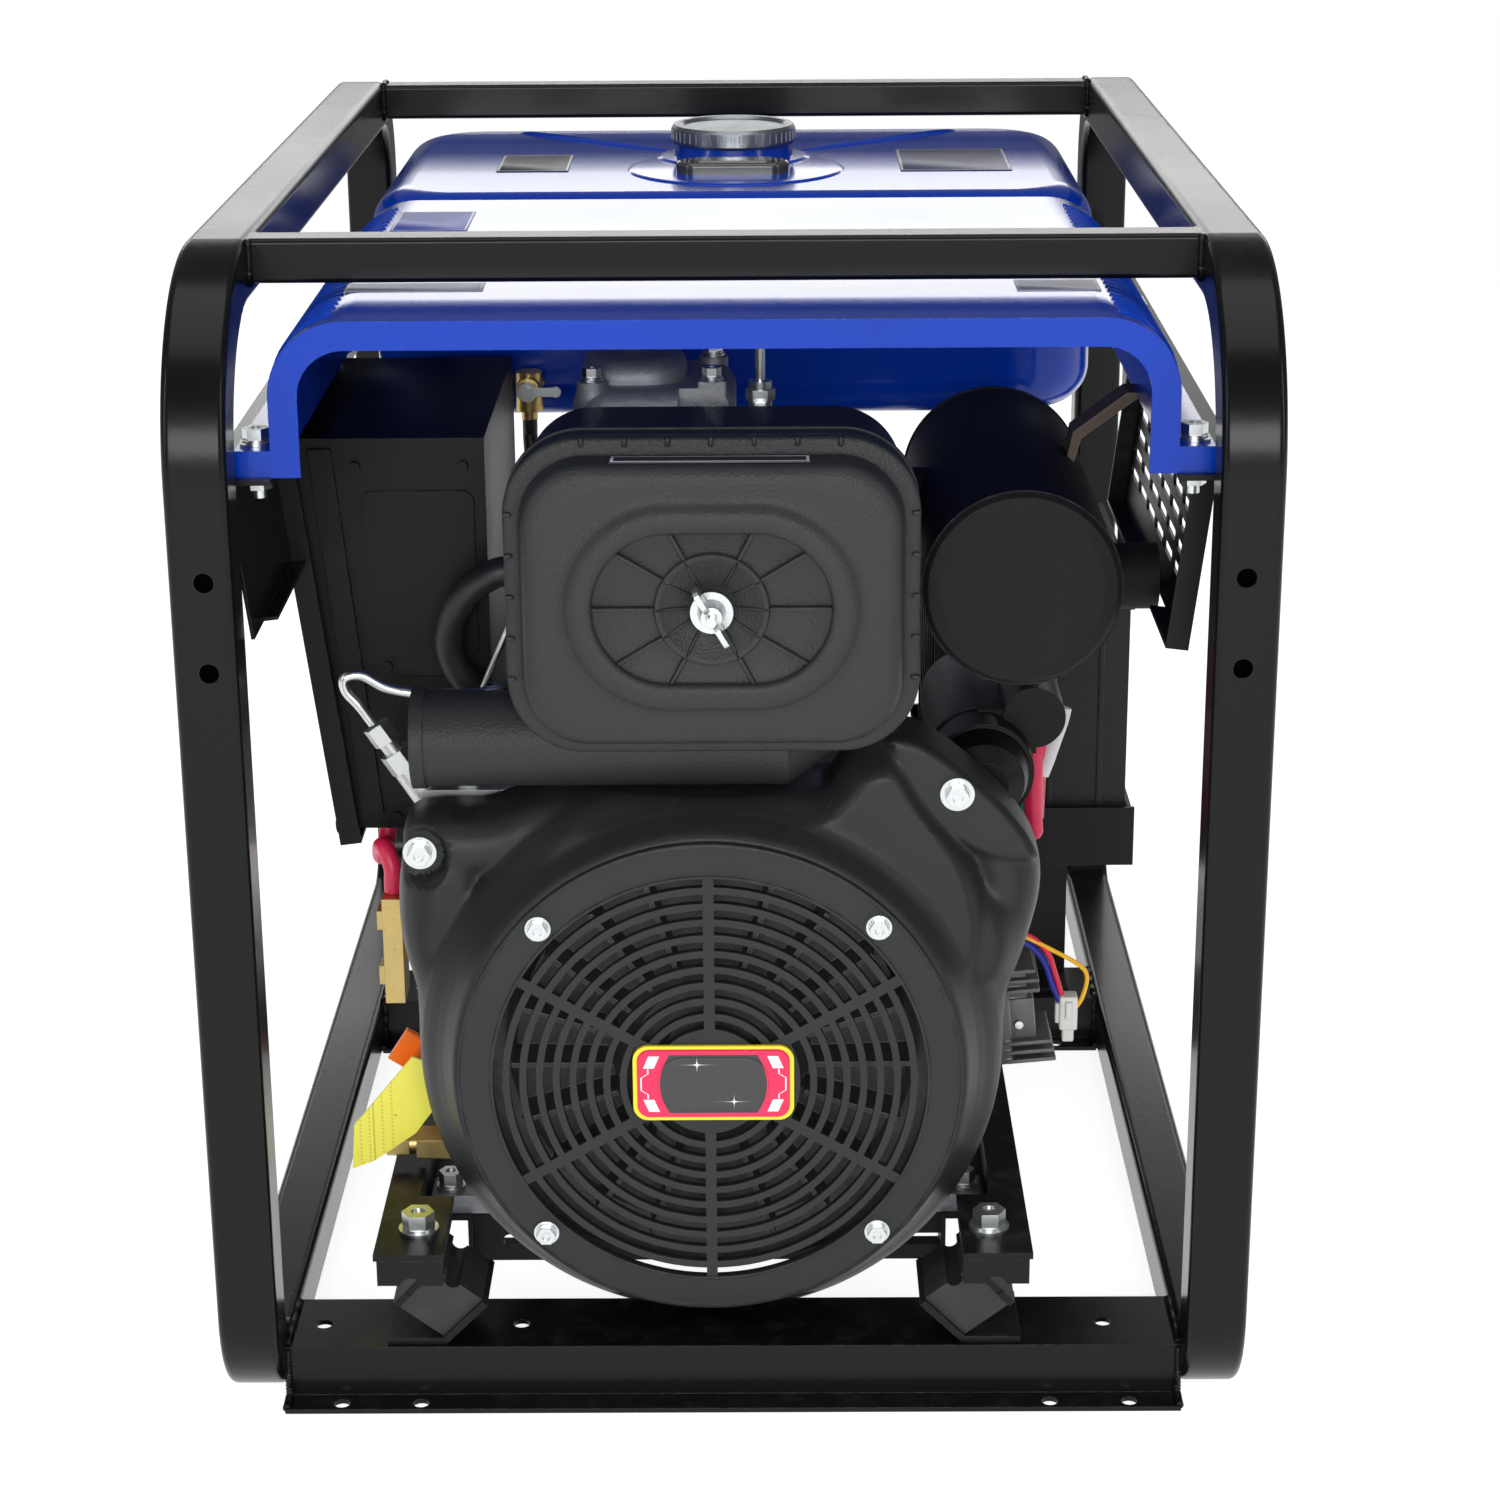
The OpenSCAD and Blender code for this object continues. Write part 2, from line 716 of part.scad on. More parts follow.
module shroud_solid() {
    slab(116, 134) polygon(shroud_line(0));
    slab(98, 117) polygon(shroud_line(6));
    slab(90, 99) polygon(shroud_line(13));
    slab(78, 91) polygon(corner_cut(corner_cut(shroud_field)));
    turned(crank_x, 128, crank_z) polygon([[0, 0], [168, 0], [168, 33], [166.5, 38], [163.5, 42],
        [157, 49], [153.5, 55], [152, 61], [151, 67], [149.5, 70], [146, 72], [0, 72]]);
    slab(89, 134) polygon(corner_cut(corner_cut([[96, 385], [124, 378], [157, 350], [177, 322],
        [179, 300], [150, 296], [116, 345]])));
    turned(148, 134, 286) polygon([[0, 0], [34, 0], [34, 24], [30, 36], [22, 45], [10, 50], [0, 51]]);
    turned(-164, 134, 300) polygon([[0, 0], [29, 0], [28, 24], [22, 36], [12, 42], [0, 43]]);
    ycyl(-182, 320, 104, 134, 15);
    ycyl(132, 361, 87, 134, 14);
}

module fan_shroud() {
    color([0.05, 0.05, 0.055]) difference() {
        shroud_solid();
        box(-300, 300, 134, 160, 0, 500);
        box(-300, 300, 40, front_beam_y + 77.5, 0, tube + 3);
        box(-80, 60, 85, 134, 359.7, 372);
        slab(104, 135) polygon(corner_cut(towards(shroud_edge, [crank_x, 220], 12)));
        slab(83, 105) polygon(corner_cut(towards(shroud_field, [crank_x, 250], 7)));
        turned(crank_x, 136, crank_z) square([145, 74]);
        ycyl(crank_x, crank_z, 50, 70, slot_r + 3);
        ycyl(-182, 320, 100, 140, 4.5);
        ycyl(132, 361, 80, 140, 4.5);
        ycyl(-182, 320, 80, 104, 13);
        for (x = [-98, 98]) {
            for (z = [-97, 97]) {
                ycyl(crank_x + x, crank_z + z, 50, 70, 3.5);
            }
        }
    }
}

module fan_grille() {
    color([0.05, 0.05, 0.055]) difference() {
        union() {
            slab(51, 55.8) translate([crank_x, crank_z]) {
                difference() {
                    circle(r = grille_r);
                    circle(r = slot_r);
                }
                for (i = [1:slot_rings - 1]) {
                    difference() {
                        circle(r = slot_r - i * ring_pitch + ring_pitch - slot_w);
                        circle(r = slot_r - i * ring_pitch);
                    }
                }
                circle(r = slot_r - slot_rings * ring_pitch + ring_pitch - slot_w);
                for (i = [0:spokes - 1]) {
                    rotate(90 + i * 360 / spokes) translate([20, -3.2]) square([slot_r - 16, 6.4]);
                }
            }
            turned(crank_x, 52, crank_z) polygon([[grille_r - 2.2, 0], [grille_r, 0],
                [grille_r, 1.6], [grille_r - 1.6, 2.2]]);
            turned(crank_x, 52, crank_z) polygon([[slot_r, 0], [slot_r + 2, 0],
                [slot_r + 1.6, 2.2], [slot_r, 2.2]]);
        }
        for (x = [-98, 98]) {
            for (z = [-97, 97]) {
                ycyl(crank_x + x, crank_z + z, 48, 60, 3.5);
            }
        }
    }
}

module grille_badge() {
    color([0.9, 0.8, 0.05]) {
        slab(48.6, 51) translate([crank_x + 2, crank_z]) round_rect(-47, 47, -23.5, 23.5, 9);
        slab(47.6, 48.6) translate([crank_x + 2, crank_z]) round_rect(-44, 44, -21, 21, 7);
        slab(46.9, 47.6) translate([crank_x + 2, crank_z]) round_rect(-32, 32, -17, 17, 14);
    }
}

module shroud_bolts() {
    color([0.66, 0.66, 0.64]) {
        for (x = [-98, 98]) {
            for (z = [-97, 97]) {
                bolt_front(crank_x + x, 51, crank_z + z, 10, 4, 7.5);
                ycyl(crank_x + x, crank_z + z, 51, 66, 3);
            }
        }
        bolt_front(-182, 104, 320, 12, 5, 10);
        ycyl(-182, 320, 104, 134, 4);
        bolt_front(132, 87, 361, 12, 5, 10);
        ycyl(132, 361, 87, 134, 4);
    }
}

module flywheel() {
    color([0.3, 0.3, 0.3]) {
        turned(crank_x, 130, crank_z) polygon([[crank_r, 0], [124, 0], [124, 14], [118, 18],
            [116, 26], [60, 30], [46, 44], [crank_r, 48]]);
        for (i = [0:blades - 1]) {
            translate([crank_x, fy(106), crank_z]) rotate([90, 0, 0]) rotate([0, 0, i * 360 / blades])
                translate([58, -1.5, -3]) cube([60, 3, 34]);
        }
        translate([crank_x, fy(82), crank_z]) rotate([90, 0, 0]) cylinder(r = 17, h = 14, $fn = 6);
        turned(crank_x, 82, crank_z) polygon([[0, 0], [30, 0], [30, 5], [0, 5]]);
    }
}

module rotor() {
    color([0.45, 0.3, 0.18]) {
        ycyl(crank_x, crank_z, 82, 696, crank_r);
        difference() {
            ycyl(crank_x, crank_z, 392, 600, stator_r - 40 - air_gap);
            for (i = [0:3]) {
                translate([crank_x, fy(601), crank_z]) rotate([90, 0, 0]) rotate([0, 0, 45 + 90 * i])
                    translate([46, -14, 0]) cube([60, 28, 212]);
            }
        }
        ycyl(crank_x, crank_z, 622, 634, 62);
    }
}

module stator_housing() {
    color([0.4, 0.41, 0.42]) difference() {
        union() {
            ycyl(crank_x, crank_z, 342, 352, 134);
            ycyl(crank_x, crank_z, 350, stator_end, stator_r);
            for (i = [0:23]) {
                translate([crank_x, fy(610), crank_z]) rotate([90, 0, 0])
                    rotate([0, 0, i * 15 + 7.5]) translate([stator_r - 2, -2, 0]) cube([8, 4, 230]);
            }
            slab(512, 526) difference() {
                polygon([[mount_x - 172, foot_level], [mount_x + 172, foot_level],
                    [mount_x + 172, 77], [mount_x + 147, 77], [crank_x + 122, 140],
                    [crank_x - 122, 140], [mount_x - 147, 77], [mount_x - 172, 77]]);
                translate([crank_x, crank_z]) circle(r = stator_r - 6);
            }
            box(crank_x - 50, crank_x + 50, 410, 540, crank_z + stator_r - 12, crank_z + stator_r + 16);
        }
        ycyl(crank_x, crank_z, 352, stator_end + 1, stator_r - 40);
        ycyl(crank_x, crank_z, 341, 353, crank_r + shaft_play);
    }
}

module alternator_end() {
    color([0.4, 0.41, 0.42]) difference() {
        turned(crank_x, stator_end + 66, crank_z) {
            difference() {
                polygon([[0, 0], [60, 0], [74, 8], [114, 26], [128, 38], [128, 66], [0, 66]]);
                polygon([[34, 14], [60, 14], [106, 40], [106, 67], [34, 67]]);
            }
        }
        ycyl(crank_x, crank_z, stator_end - 10, stator_end + 59, crank_r + shaft_play);
        ycyl(crank_x, crank_z, stator_end - 1, stator_end + 42, 34.5);
        for (i = [0:11]) {
            translate([crank_x, fy(stator_end + 72), crank_z]) rotate([90, 0, 0]) rotate([0, 0, i * 30 + 15])
                translate([76, -4, 0]) cube([26, 8, 40]);
        }
    }
}

module air_cleaner_base() {
    color([0.06, 0.06, 0.065]) difference() {
        union() {
            translate([cleaner_x, fy(190), cleaner_z]) rotate([90, 0, 0])
                pillow(cleaner_w - 14, cleaner_h - 14, 96, 40, 4, 12);
            slab(84, 96) translate([cleaner_x, cleaner_z]) round_rect(rim_step - cleaner_w / 2,
                cleaner_w / 2 - rim_step, rim_step - cleaner_h / 2, cleaner_h / 2 - rim_step, 43);
            slab(96, 100) translate([cleaner_x, cleaner_z])
                round_rect(-cleaner_w / 2, cleaner_w / 2, -cleaner_h / 2, cleaner_h / 2, 44);
            xcyl(-181, 34, snorkel_y, snorkel_z, 28);
            translate([34, fy(snorkel_y), snorkel_z]) rotate([0, 90, 0]) cylinder(r1 = 28, r2 = 9, h = 27);
            xcyl(-184, -176, snorkel_y, snorkel_z, 29.5);
        }
        slab(83, 187) translate([cleaner_x, cleaner_z]) round_rect(-104, 104, -80, 80, 36);
        xcyl(-185, 30, snorkel_y, snorkel_z, 25);
    }
}

module air_cleaner_cover() {
    color([0.06, 0.06, 0.065]) difference() {
        union() {
            slab(72, 84) translate([cleaner_x, cleaner_z]) round_rect(rim_step - cleaner_w / 2,
                cleaner_w / 2 - rim_step, rim_step - cleaner_h / 2, cleaner_h / 2 - rim_step, 43);
            translate([cleaner_x, fy(74), cleaner_z]) rotate([90, 0, 0])
                pillow(cleaner_w, cleaner_h, 7, 44, 3, 1);
            translate([cleaner_x, fy(84), cleaner_z - 1]) rotate([90, 0, 0])
                pillow(214, 162, 34, 36, 12, 2);
            slab(46, 51) translate([cleaner_x, cleaner_z - 1]) difference() {
                stadium(-80, 80, -57, 57);
                stadium(-69, 69, -46, 46);
            }
            for (i = [-3:3]) {
                box(cleaner_x + i * 24 - 1.2, cleaner_x + i * 24 + 1.2, 72, 84,
                    cleaner_z + cleaner_h / 2 - 5, cleaner_z + cleaner_h / 2 - 0.2);
            }
            for (i = [-2:2]) {
                box(cleaner_x - cleaner_w / 2 + 0.2, cleaner_x - cleaner_w / 2 + 5, 72, 84,
                    cleaner_z + i * 24 - 1.2, cleaner_z + i * 24 + 1.2);
                box(cleaner_x + cleaner_w / 2 - 5, cleaner_x + cleaner_w / 2 - 0.2, 72, 84,
                    cleaner_z + i * 24 - 1.2, cleaner_z + i * 24 + 1.2);
            }
        }
        slab(54, 85) translate([cleaner_x, cleaner_z - 1]) round_rect(-104, 104, -77.5, 77.5, 32);
        slab(45, 52) translate([cleaner_x, cleaner_z - 1]) difference() {
            stadium(-67, 67, -43, 43);
            circle(r = 30);
            for (i = [0:dish_ribs - 1]) {
                rotate(i * 360 / dish_ribs) translate([20, -1.2]) square([70, 2.4]);
            }
        }
        ycyl(cleaner_x, cleaner_z - 1, 44, 58, 5);
    }
}

module air_filter() {
    color([0.85, 0.75, 0.4]) difference() {
        turned(cleaner_x, 186.8, cleaner_z - 1) polygon([[40, 0], [72, 0], [72, 125], [40, 125]]);
        for (i = [0:29]) {
            translate([cleaner_x, fy(180), cleaner_z - 1]) rotate([90, 0, 0])
                rotate([0, 0, i * 12]) translate([66, -2, 0]) cube([8, 4, 112]);
        }
    }
}

module cleaner_stud() {
    color([0.7, 0.7, 0.68]) {
        ycyl(cleaner_x, cleaner_z - 1, 24, 187, 3);
        ycyl(cleaner_x, cleaner_z - 1, 44, 46, 12);
        ycyl(cleaner_x, cleaner_z - 1, 46, 51.9, 4.9);
    }
}

module wing_nut() {
    color([0.72, 0.72, 0.7]) difference() {
        union() {
            turned(cleaner_x, 43.6, cleaner_z - 1) polygon([[0, 0], [8, 0], [6, 10], [0, 10]]);
            for (s = [0, 180]) {
                translate([cleaner_x, fy(43.6), cleaner_z - 1]) rotate([90, 0, 0])
                    rotate([0, 0, 120 + s]) translate([4, 0, 2]) rotate([90, 0, 0])
                        linear_extrude(3, center = true) round_rect(0, 15, 0, 14, 4.5);
            }
        }
        ycyl(cleaner_x, cleaner_z - 1, 20, 44, 3 + shaft_play);
    }
}

module intake_elbow() {
    color([0.5, 0.5, 0.5]) difference() {
        union() {
            ycyl(-60, 486, 190, 206, 23);
            ycyl(-60, 486, 200, 206, 30);
        }
        ycyl(-60, 486, 189, 207, 19);
    }
}

module injection_pump() {
    color([0.5, 0.5, 0.47]) {
        box(-184, -125, 142, 160, 262, 345);
        translate([-180, fy(151), 336]) rotate([0, -33, 0]) {
            cylinder(r = 8.8, h = 24);
            translate([0, 0, 24]) cylinder(r = 10, h = 13, $fn = 6);
            translate([0, 0, 37]) cylinder(r = 6, h = 8);
            translate([0, 0, 44]) cylinder(r = 8.5, h = 12.4, $fn = 6);
        }
        ycyl(-172, 320, 160, 172, 5);
        ycyl(-160, 336, 160, 168, 4);
        ycyl(-160, 336, 165.6, 168, 6.5);
    }
}

module injection_pipe() {
    color([0.6, 0.6, 0.6]) hose(injection_route, 3.2);
}

module speed_lever() {
    color([0.72, 0.72, 0.7]) difference() {
        union() {
            ycyl(-160, 336, 160.3, 165.3, 9);
            slab(160.6, 163.6) polygon([[-165, 334], [-155, 338], [-145, 394], [-155, 396]]);
            ycyl(-150, 395, 160.6, 163.6, 5.5);
            translate([-150, fy(162.1), 395]) rotate([0, 23, 0]) cylinder(r = 2.2, h = 50);
        }
        ycyl(-160, 336, 159, 167, 4 + shaft_play);
    }
}

module starter_motor() {
    color([0.05, 0.05, 0.05]) {
        ycyl(152, 346, 166, 318, 31);
        ycyl(152, 346, 196, 204, 32.2);
        turned(152, 330, 346) polygon([[0, 0], [24, 0], [30, 12], [0, 12]]);
        turned(152, 168, 346) polygon([[0, 0], [29, 0], [24, 20], [14, 26], [0, 26]]);
        ycyl(184, 374, 186, 262, 19);
        box(150, 186, 190, 250, 350, 378);
        box(103, 140, 170, 178, 272, 300);
        box(124, 152, 170, 178, 272, 340);
        ycyl(184, 374, 262, 272, 5);
        xcyl(172, 180, 256, 350, 7);
    }
}

module regulator() {
    color([0.6, 0.6, 0.6]) {
        box(166, 176, 168, 222, 142, 208);
        for (i = [0:6]) {
            box(176, 200, 168, 222, 142 + i * 10.5, 145 + i * 10.5);
        }
        box(108, 166, 186, 190, 151, 200);
    }
}

module muffler() {
    color([0.04, 0.04, 0.045]) difference() {
        union() {
            turned(muffler_x, muffler_y + muffler_l, muffler_z) polygon([[0, 0],
                [muffler_r - 8, 0], [muffler_r - 3, 2], [muffler_r, 6],
                [muffler_r, muffler_l - 4], [muffler_r - 3, muffler_l - 1],
                [muffler_r - 10, muffler_l], [0, muffler_l]]);
            xcyl(muffler_x + 40, 253, 172, 467, 19.5);
            xcyl(104, 130, 260, 492.5, 19);
            ycyl(muffler_x, muffler_z, 104, 107, muffler_r + 0.8);
            ycyl(muffler_x, muffler_z, 372, 375, muffler_r + 0.8);
        }
        ycyl(muffler_x, muffler_z, muffler_y + 3, muffler_y + muffler_l - 3, muffler_r - 3);
        xcyl(muffler_x + 30, 254, 172, 467, 17.5);
        xcyl(100, 132, 260, 492.5, 16);
    }
}

module exhaust_elbow() {
    color([0.25, 0.2, 0.18]) {
        difference() {
            union() {
                xcyl(54, 104, 260, 492.5, 19);
                xcyl(54, 60, 260, 492.5, 26);
                xcyl(100, 104, 260, 492.5, 22);
            }
            xcyl(53, 105, 260, 492.5, 16);
        }
        slab(240, 266) polygon([[205, 523.1], [209, 519.5], [213, 534], [247, 559], [247, 562],
            [240, 562], [208, 538]]);
    }
}

module fuel_tank() {
    color([0.01, 0.08, 0.5]) difference() {
        union() {
            translate([0, fy(tank_y + tank_l / 2), tank_z])
                pillow(tank_w, tank_l, tank_h, tank_corner, tank_edge, tank_edge);
            translate([0, fy(cap_y), tank_top]) rotate_extrude() polygon([[0, -5], [55, -5], [55, 1],
                [51, 2.5], [42, 2.5], [40, 11], [0, 11]]);
            both_sides() {
                for (y = tank_rows) {
                    box(tank_w / 2 - 8, rail_x - 4, y - 16, y + 16, rail_z + sheet, rail_z + 2 * sheet);
                    box(tank_w / 2 - 3, tank_w / 2, y - 16, y + 16, min(rail_z + sheet, tank_middle),
                        max(rail_z + 2 * sheet, tank_middle));
                }
            }
        }
        translate([0, fy(tank_y + tank_l / 2), tank_z + tank_edge]) linear_extrude(tank_h - 2 * tank_edge)
            round_rect(3 - tank_w / 2, tank_w / 2 - 3, 3 - tank_l / 2, tank_l / 2 - 3, tank_corner - 3);
        difference() {
            translate([0, fy(tank_y + tank_l / 2), tank_z + 3]) linear_extrude(tank_h - 6)
                round_rect(tank_edge - tank_w / 2, tank_w / 2 - tank_edge, tank_edge - tank_l / 2,
                    tank_l / 2 - tank_edge, tank_corner - tank_edge);
            zcyl(0, cap_y, tank_top - 65, tank_top + 15, 30);
        }
        zcyl(0, cap_y, tank_top - 59, tank_top + 25, 27);
        ycyl(-136, cock_z, tank_y - 2, tank_y + 5, 4);
        both_sides() {
            for (y = tank_rows) {
                zcyl(257, y, rail_z, rail_z + 3 * sheet, 4.5);
            }
        }
    }
}

module fuel_cap() {
    color([0.75, 0.75, 0.76]) {
        translate([0, fy(cap_y), tank_top]) rotate_extrude() polygon([[0, 11.3], [43, 11.3],
            [43.5, 13], [43.5, 22], [42, 24.5], [38, 24.5], [36, 22.5], [0, 24]]);
        translate([0, fy(cap_y), tank_top]) rotate_extrude() polygon([[0, -5], [25, -5], [26.5, -3],
            [26.5, 13], [0, 13]]);
        for (i = [0:47]) {
            translate([0, fy(cap_y), tank_top + 14.2]) rotate([0, 0, i * 7.5]) translate([41.5, -1, 0])
                cube([2.6, 2, 7]);
        }
    }
}

module fuel_gauge() {
    color([0.08, 0.08, 0.08]) {
        translate([0, fy(tank_y + 101), tank_top]) pillow(78, 30, 9, 14, 3, 0.5);
        translate([0, fy(tank_y + 101), tank_top + 9]) linear_extrude(1) round_rect(-30, 30, -9, 9, 8);
    }
}

module fuel_cock() {
    color([0.72, 0.6, 0.28]) difference() {
        union() {
            ycyl(-136, cock_z, 446, tank_y, 7);
            translate([-136, fy(tank_y), cock_z]) rotate([90, 0, 0]) cylinder(r = 10, h = 6, $fn = 6);
            zcyl(-136, 450, cock_z - 16, cock_z + 10, 9);
            zcyl(-136, 450, cock_z - 22, cock_z - 15, 5.5);
            ycyl(-136, cock_z, 436, 446, 8);
        }
        ycyl(-136, cock_z, 430, 442, 4 + shaft_play);
    }
}

module fuel_cock_lever() {
    color([0.7, 0.68, 0.6]) {
        ycyl(-136, cock_z, 428, 442, 4);
        ycyl(-136, cock_z, 429, 435.6, 6.5);
        slab(430, 433) translate([-136, cock_z]) {
            translate([0, -3]) square([19, 6]);
            translate([19, 0]) circle(r = 3.5);
        }
    }
}

module hoses() {
    color([0.03, 0.03, 0.03]) {
        hose(fuel_route, 5);
        hose(breather_route, 9);
    }
}

module control_box() {
    color([0.05, 0.05, 0.05]) {
        difference() {
            slab(200, 430) polygon([[-266, 546], [-145, 546], [-145, 300], [-237, 300]]);
            slab(202, 428) polygon([[-275, 544], [-147, 544], [-147, 302], [-245, 302]]);
        }
        slab(198.4, 200) round_rect(-219, -152, 411, 514, 7);
        slab(198.4, 200) round_rect(-206, -154, 316, 398, 7);
        slab(197, 200) polygon([[-250, 540], [-236, 540], [-214, 310], [-227, 310]]);
        for (q = [[-222, 529], [-158, 529], [-208, 404.5], [-158, 404.5], [-206, 308]]) {
            ycyl(q[0], q[1], 196.6, 200, 3.2);
        }
    }
}

module control_panel() {
    color([0.05, 0.05, 0.05]) difference() {
        leaning(-1) {
            difference() {
                translate([0, fy(188), -268]) cube([2, 252, 268]);
                translate([-1, fy(204), -240]) cube([4, 14, 6]);
            }
            translate([0, fy(188), -268]) cube([13, 2, 268]);
            translate([0, fy(438), -268]) cube([13, 2, 268]);
            translate([0, fy(188), -268]) cube([13, 252, 2]);
            for (y = [196, 432]) {
                for (z = [-258, -14]) {
                    translate([-1.6, fy(y), z]) rotate([0, 90, 0]) cylinder(r = 4, h = 1.6);
                }
            }
        }
        box(-300, -200, 0, frame_l, rail_z, rail_z + 9);
        on_panel(meter_row, 62) translate([0, 0, -3]) linear_extrude(4) {
            square(62 + 2 * panel_fit, center = true);
        }
        on_panel(breaker_row, 60) translate([-36 - panel_fit, -22 - panel_fit, -3]) {
            cube([72 + 2 * panel_fit, 44 + 2 * panel_fit, 4]);
        }
        for (y = socket_rows) {
            on_panel(y, 170) translate([0, 0, -3]) cylinder(r = 28 + panel_fit, h = 4);
        }
    }
}

// Local frame on the panel face: x up, y to the back, z outwards; drop from the rail
module on_panel(y, drop) {
    leaning(-1) translate([0, fy(y), -drop]) rotate([0, -90, 0]) children();
}

module panel_meter() {
    color([0.07, 0.07, 0.07]) on_panel(meter_row, 62) {
        difference() {
            union() {
                linear_extrude(2.4) round_square(72, 6);
                translate([0, 0, -16]) linear_extrude(17) square(62, center = true);
            }
            translate([0, 0, -2]) linear_extrude(5) round_rect(-12, 28, -27, 27, 4);
        }
        translate([-22, 0, 2.4]) cylinder(r = 4, h = 0.8);
        translate([-12, -0.5, -2]) rotate([0, 0, 24]) cube([30, 1, 1]);
    }
}

module breaker_body() {
    color([0.09, 0.09, 0.09]) {
        on_panel(breaker_row, 60) difference() {
            union() {
                linear_extrude(2.4) round_rect(-40, 40, -26, 26, 5);
                translate([0, 0, -16]) linear_extrude(17) round_rect(-36, 36, -22, 22, 2);
            }
            translate([-15, -14, -13]) cube([30, 28, 16]);
            translate([0, 18, -1]) rotate([90, 0, 0]) cylinder(r = 2.5 + shaft_play, h = 36);
        }
        on_panel(key_row, 60) difference() {
            union() {
                cylinder(r = 19, h = 3);
                cylinder(r = 14, h = 9);
            }
            translate([0, 0, 2]) cylinder(r = 5 + shaft_play, h = 10);
        }
        on_panel(key_row, 108) {
            cylinder(r = 9, h = 4);
            translate([0, 0, 4]) cylinder(r = 6.5, h = 7);
        }
        for (y = post_rows) {
            on_panel(y, 232) {
                cylinder(r = 10, h = 4);
                translate([0, 0, 4]) cylinder(r = 4, h = 13);
                translate([0, 0, 6]) cylinder(r = 8.5, h = 8);
            }
        }
        on_panel(stud_row, 232) {
            cylinder(r = 9, h = 2);
            translate([0, 0, 2]) cylinder(r = 8, h = 6, $fn = 6);
            cylinder(r = 4, h = 16);
        }
    }
}

module breaker_switch() {
    color([0.75, 0.08, 0.06]) on_panel(breaker_row, 60) {
        translate([0, 13, -1]) rotate([90, 0, 0]) cylinder(r = 9, h = 26);
        translate([0, 17.5, -1]) rotate([90, 0, 0]) cylinder(r = 2.5, h = 35);
        translate([0, 0, -1]) rotate([0, 20, 0]) translate([-4, -11, 0]) cube([8, 22, 14]);
    }
}

module start_key() {
    color([0.7, 0.7, 0.7]) on_panel(key_row, 60) {
        translate([0, 0, 2.3]) cylinder(r = 5, h = 9);
        translate([-10, -1.5, 11]) cube([20, 3, 12]);
    }
}

module socket_bodies() {
    color([0.08, 0.16, 0.5]) for (y = socket_rows) {
        on_panel(y, 170) difference() {
            union() {
                linear_extrude(3) round_square(66, 6);
                translate([0, 0, -12]) cylinder(r = 28, h = 16);
                for (s = [-1, 1]) {
                    translate([28.4, s * 13 - 3, 2]) cube([7.2, 6, 5.2]);
                    translate([32, s * 13 + 3, 7.2]) rotate([90, 0, 0]) cylinder(r = 4, h = 6);
                }
            }
            translate([0, 0, -7]) cylinder(r = 21, h = 12);
            for (a = [0, 120, 240]) {
                rotate([0, 0, a]) translate([11, 0, -11]) cylinder(r = 3, h = 6);
            }
            translate([32, 20, 7.2]) rotate([90, 0, 0]) cylinder(r = 2 + shaft_play, h = 40);
        }
    }
}

module socket_lid(y) {
    color([0.08, 0.2, 0.6]) on_panel(y, 170) {
        translate([0, 0, 4.4]) cylinder(r = 28, h = 3.4);
        translate([0, 0, 7.8]) cylinder(r = 20, h = 1.2);
        translate([22, -9.6, 4.4]) cube([10, 19.2, 3.4]);
        translate([32, 9.6, 7.2]) rotate([90, 0, 0]) cylinder(r = 3.8, h = 19.2);
        translate([32, 16.4, 7.2]) rotate([90, 0, 0]) cylinder(r = 2, h = 32.8);
        translate([-31, -6, 4.4]) cube([6, 12, 4.6]);
    }
}

module socket_lid_front() {
    socket_lid(socket_rows[0]);
}

module socket_lid_rear() {
    socket_lid(socket_rows[1]);
}

module battery() {
    color([0.05, 0.05, 0.05]) {
        box(136, 268, 426, 646, 209, 372);
        box(133.5, 270.5, 423.5, 648.5, 372, 388);
        box(140, 264, 440, 632, 388, 393);
        for (i = [0:6]) {
            box(134.5, 269.5, 440 + i * 30, 443 + i * 30, 214, 372);
        }
        for (i = [0:3]) {
            box(146 + i * 34, 149 + i * 34, 424.4, 426, 214, 372);
        }
        for (i = [0:5]) {
            zcyl(202, 470 + i * 27, 393, 397, 9);
        }
        for (x = [158, 232]) {
            zcyl(x, 470, 393, 402, 8);
        }
    }
}

module battery_leads() {
    color([0.75, 0.03, 0.1]) {
        hose(starter_route, 5);
        hose(ground_route, 5);
        hose(solenoid_route, 5.5);
    }
}

module signal_leads() {
    color([0.85, 0.7, 0.05]) {
        hose(signal_route, 3.2);
        box(197, 211, 144, 156, 186, 210);
        box(200, 208, 146, 154, 180, 186);
        box(193, 197, 140, 167.7, 190, 206);
    }
}

module engine_fittings() {
    color([0.7, 0.65, 0.4]) {
        dipstick_tube();
        oil_tag();
        for (y = [155, 313]) {
            for (side = [-1, 1]) {
                bolt_up(mount_x + side * 160, y, 77, 13, 8, 9);
            }
        }
        for (side = [-1, 1]) {
            bolt_up(mount_x + side * 160, 519, 77, 13, 7, 6.8);
        }
        xcyl(-202, -138.6, 150, 110, 7);
        translate([-196, fy(150), 110]) rotate([0, 90, 0]) cylinder(r = 11.5, h = 26, $fn = 6);
        translate([-215, fy(150), 110]) rotate([0, 90, 0]) cylinder(r = 9, h = 14, $fn = 6);
        box(-212, -200, 150, 176, 204, 272);
        box(-200, -148, 168, 171, 226, 262);
        box(-216, -212, 156, 170, 214, 226);
        box(-216, -212, 156, 170, 250, 262);
    }
}

module at_stick() {
    translate([stick_foot[0], fy(stick_foot[1]), stick_foot[2]]) rotate([0, stick_tilt, 0]) children();
}

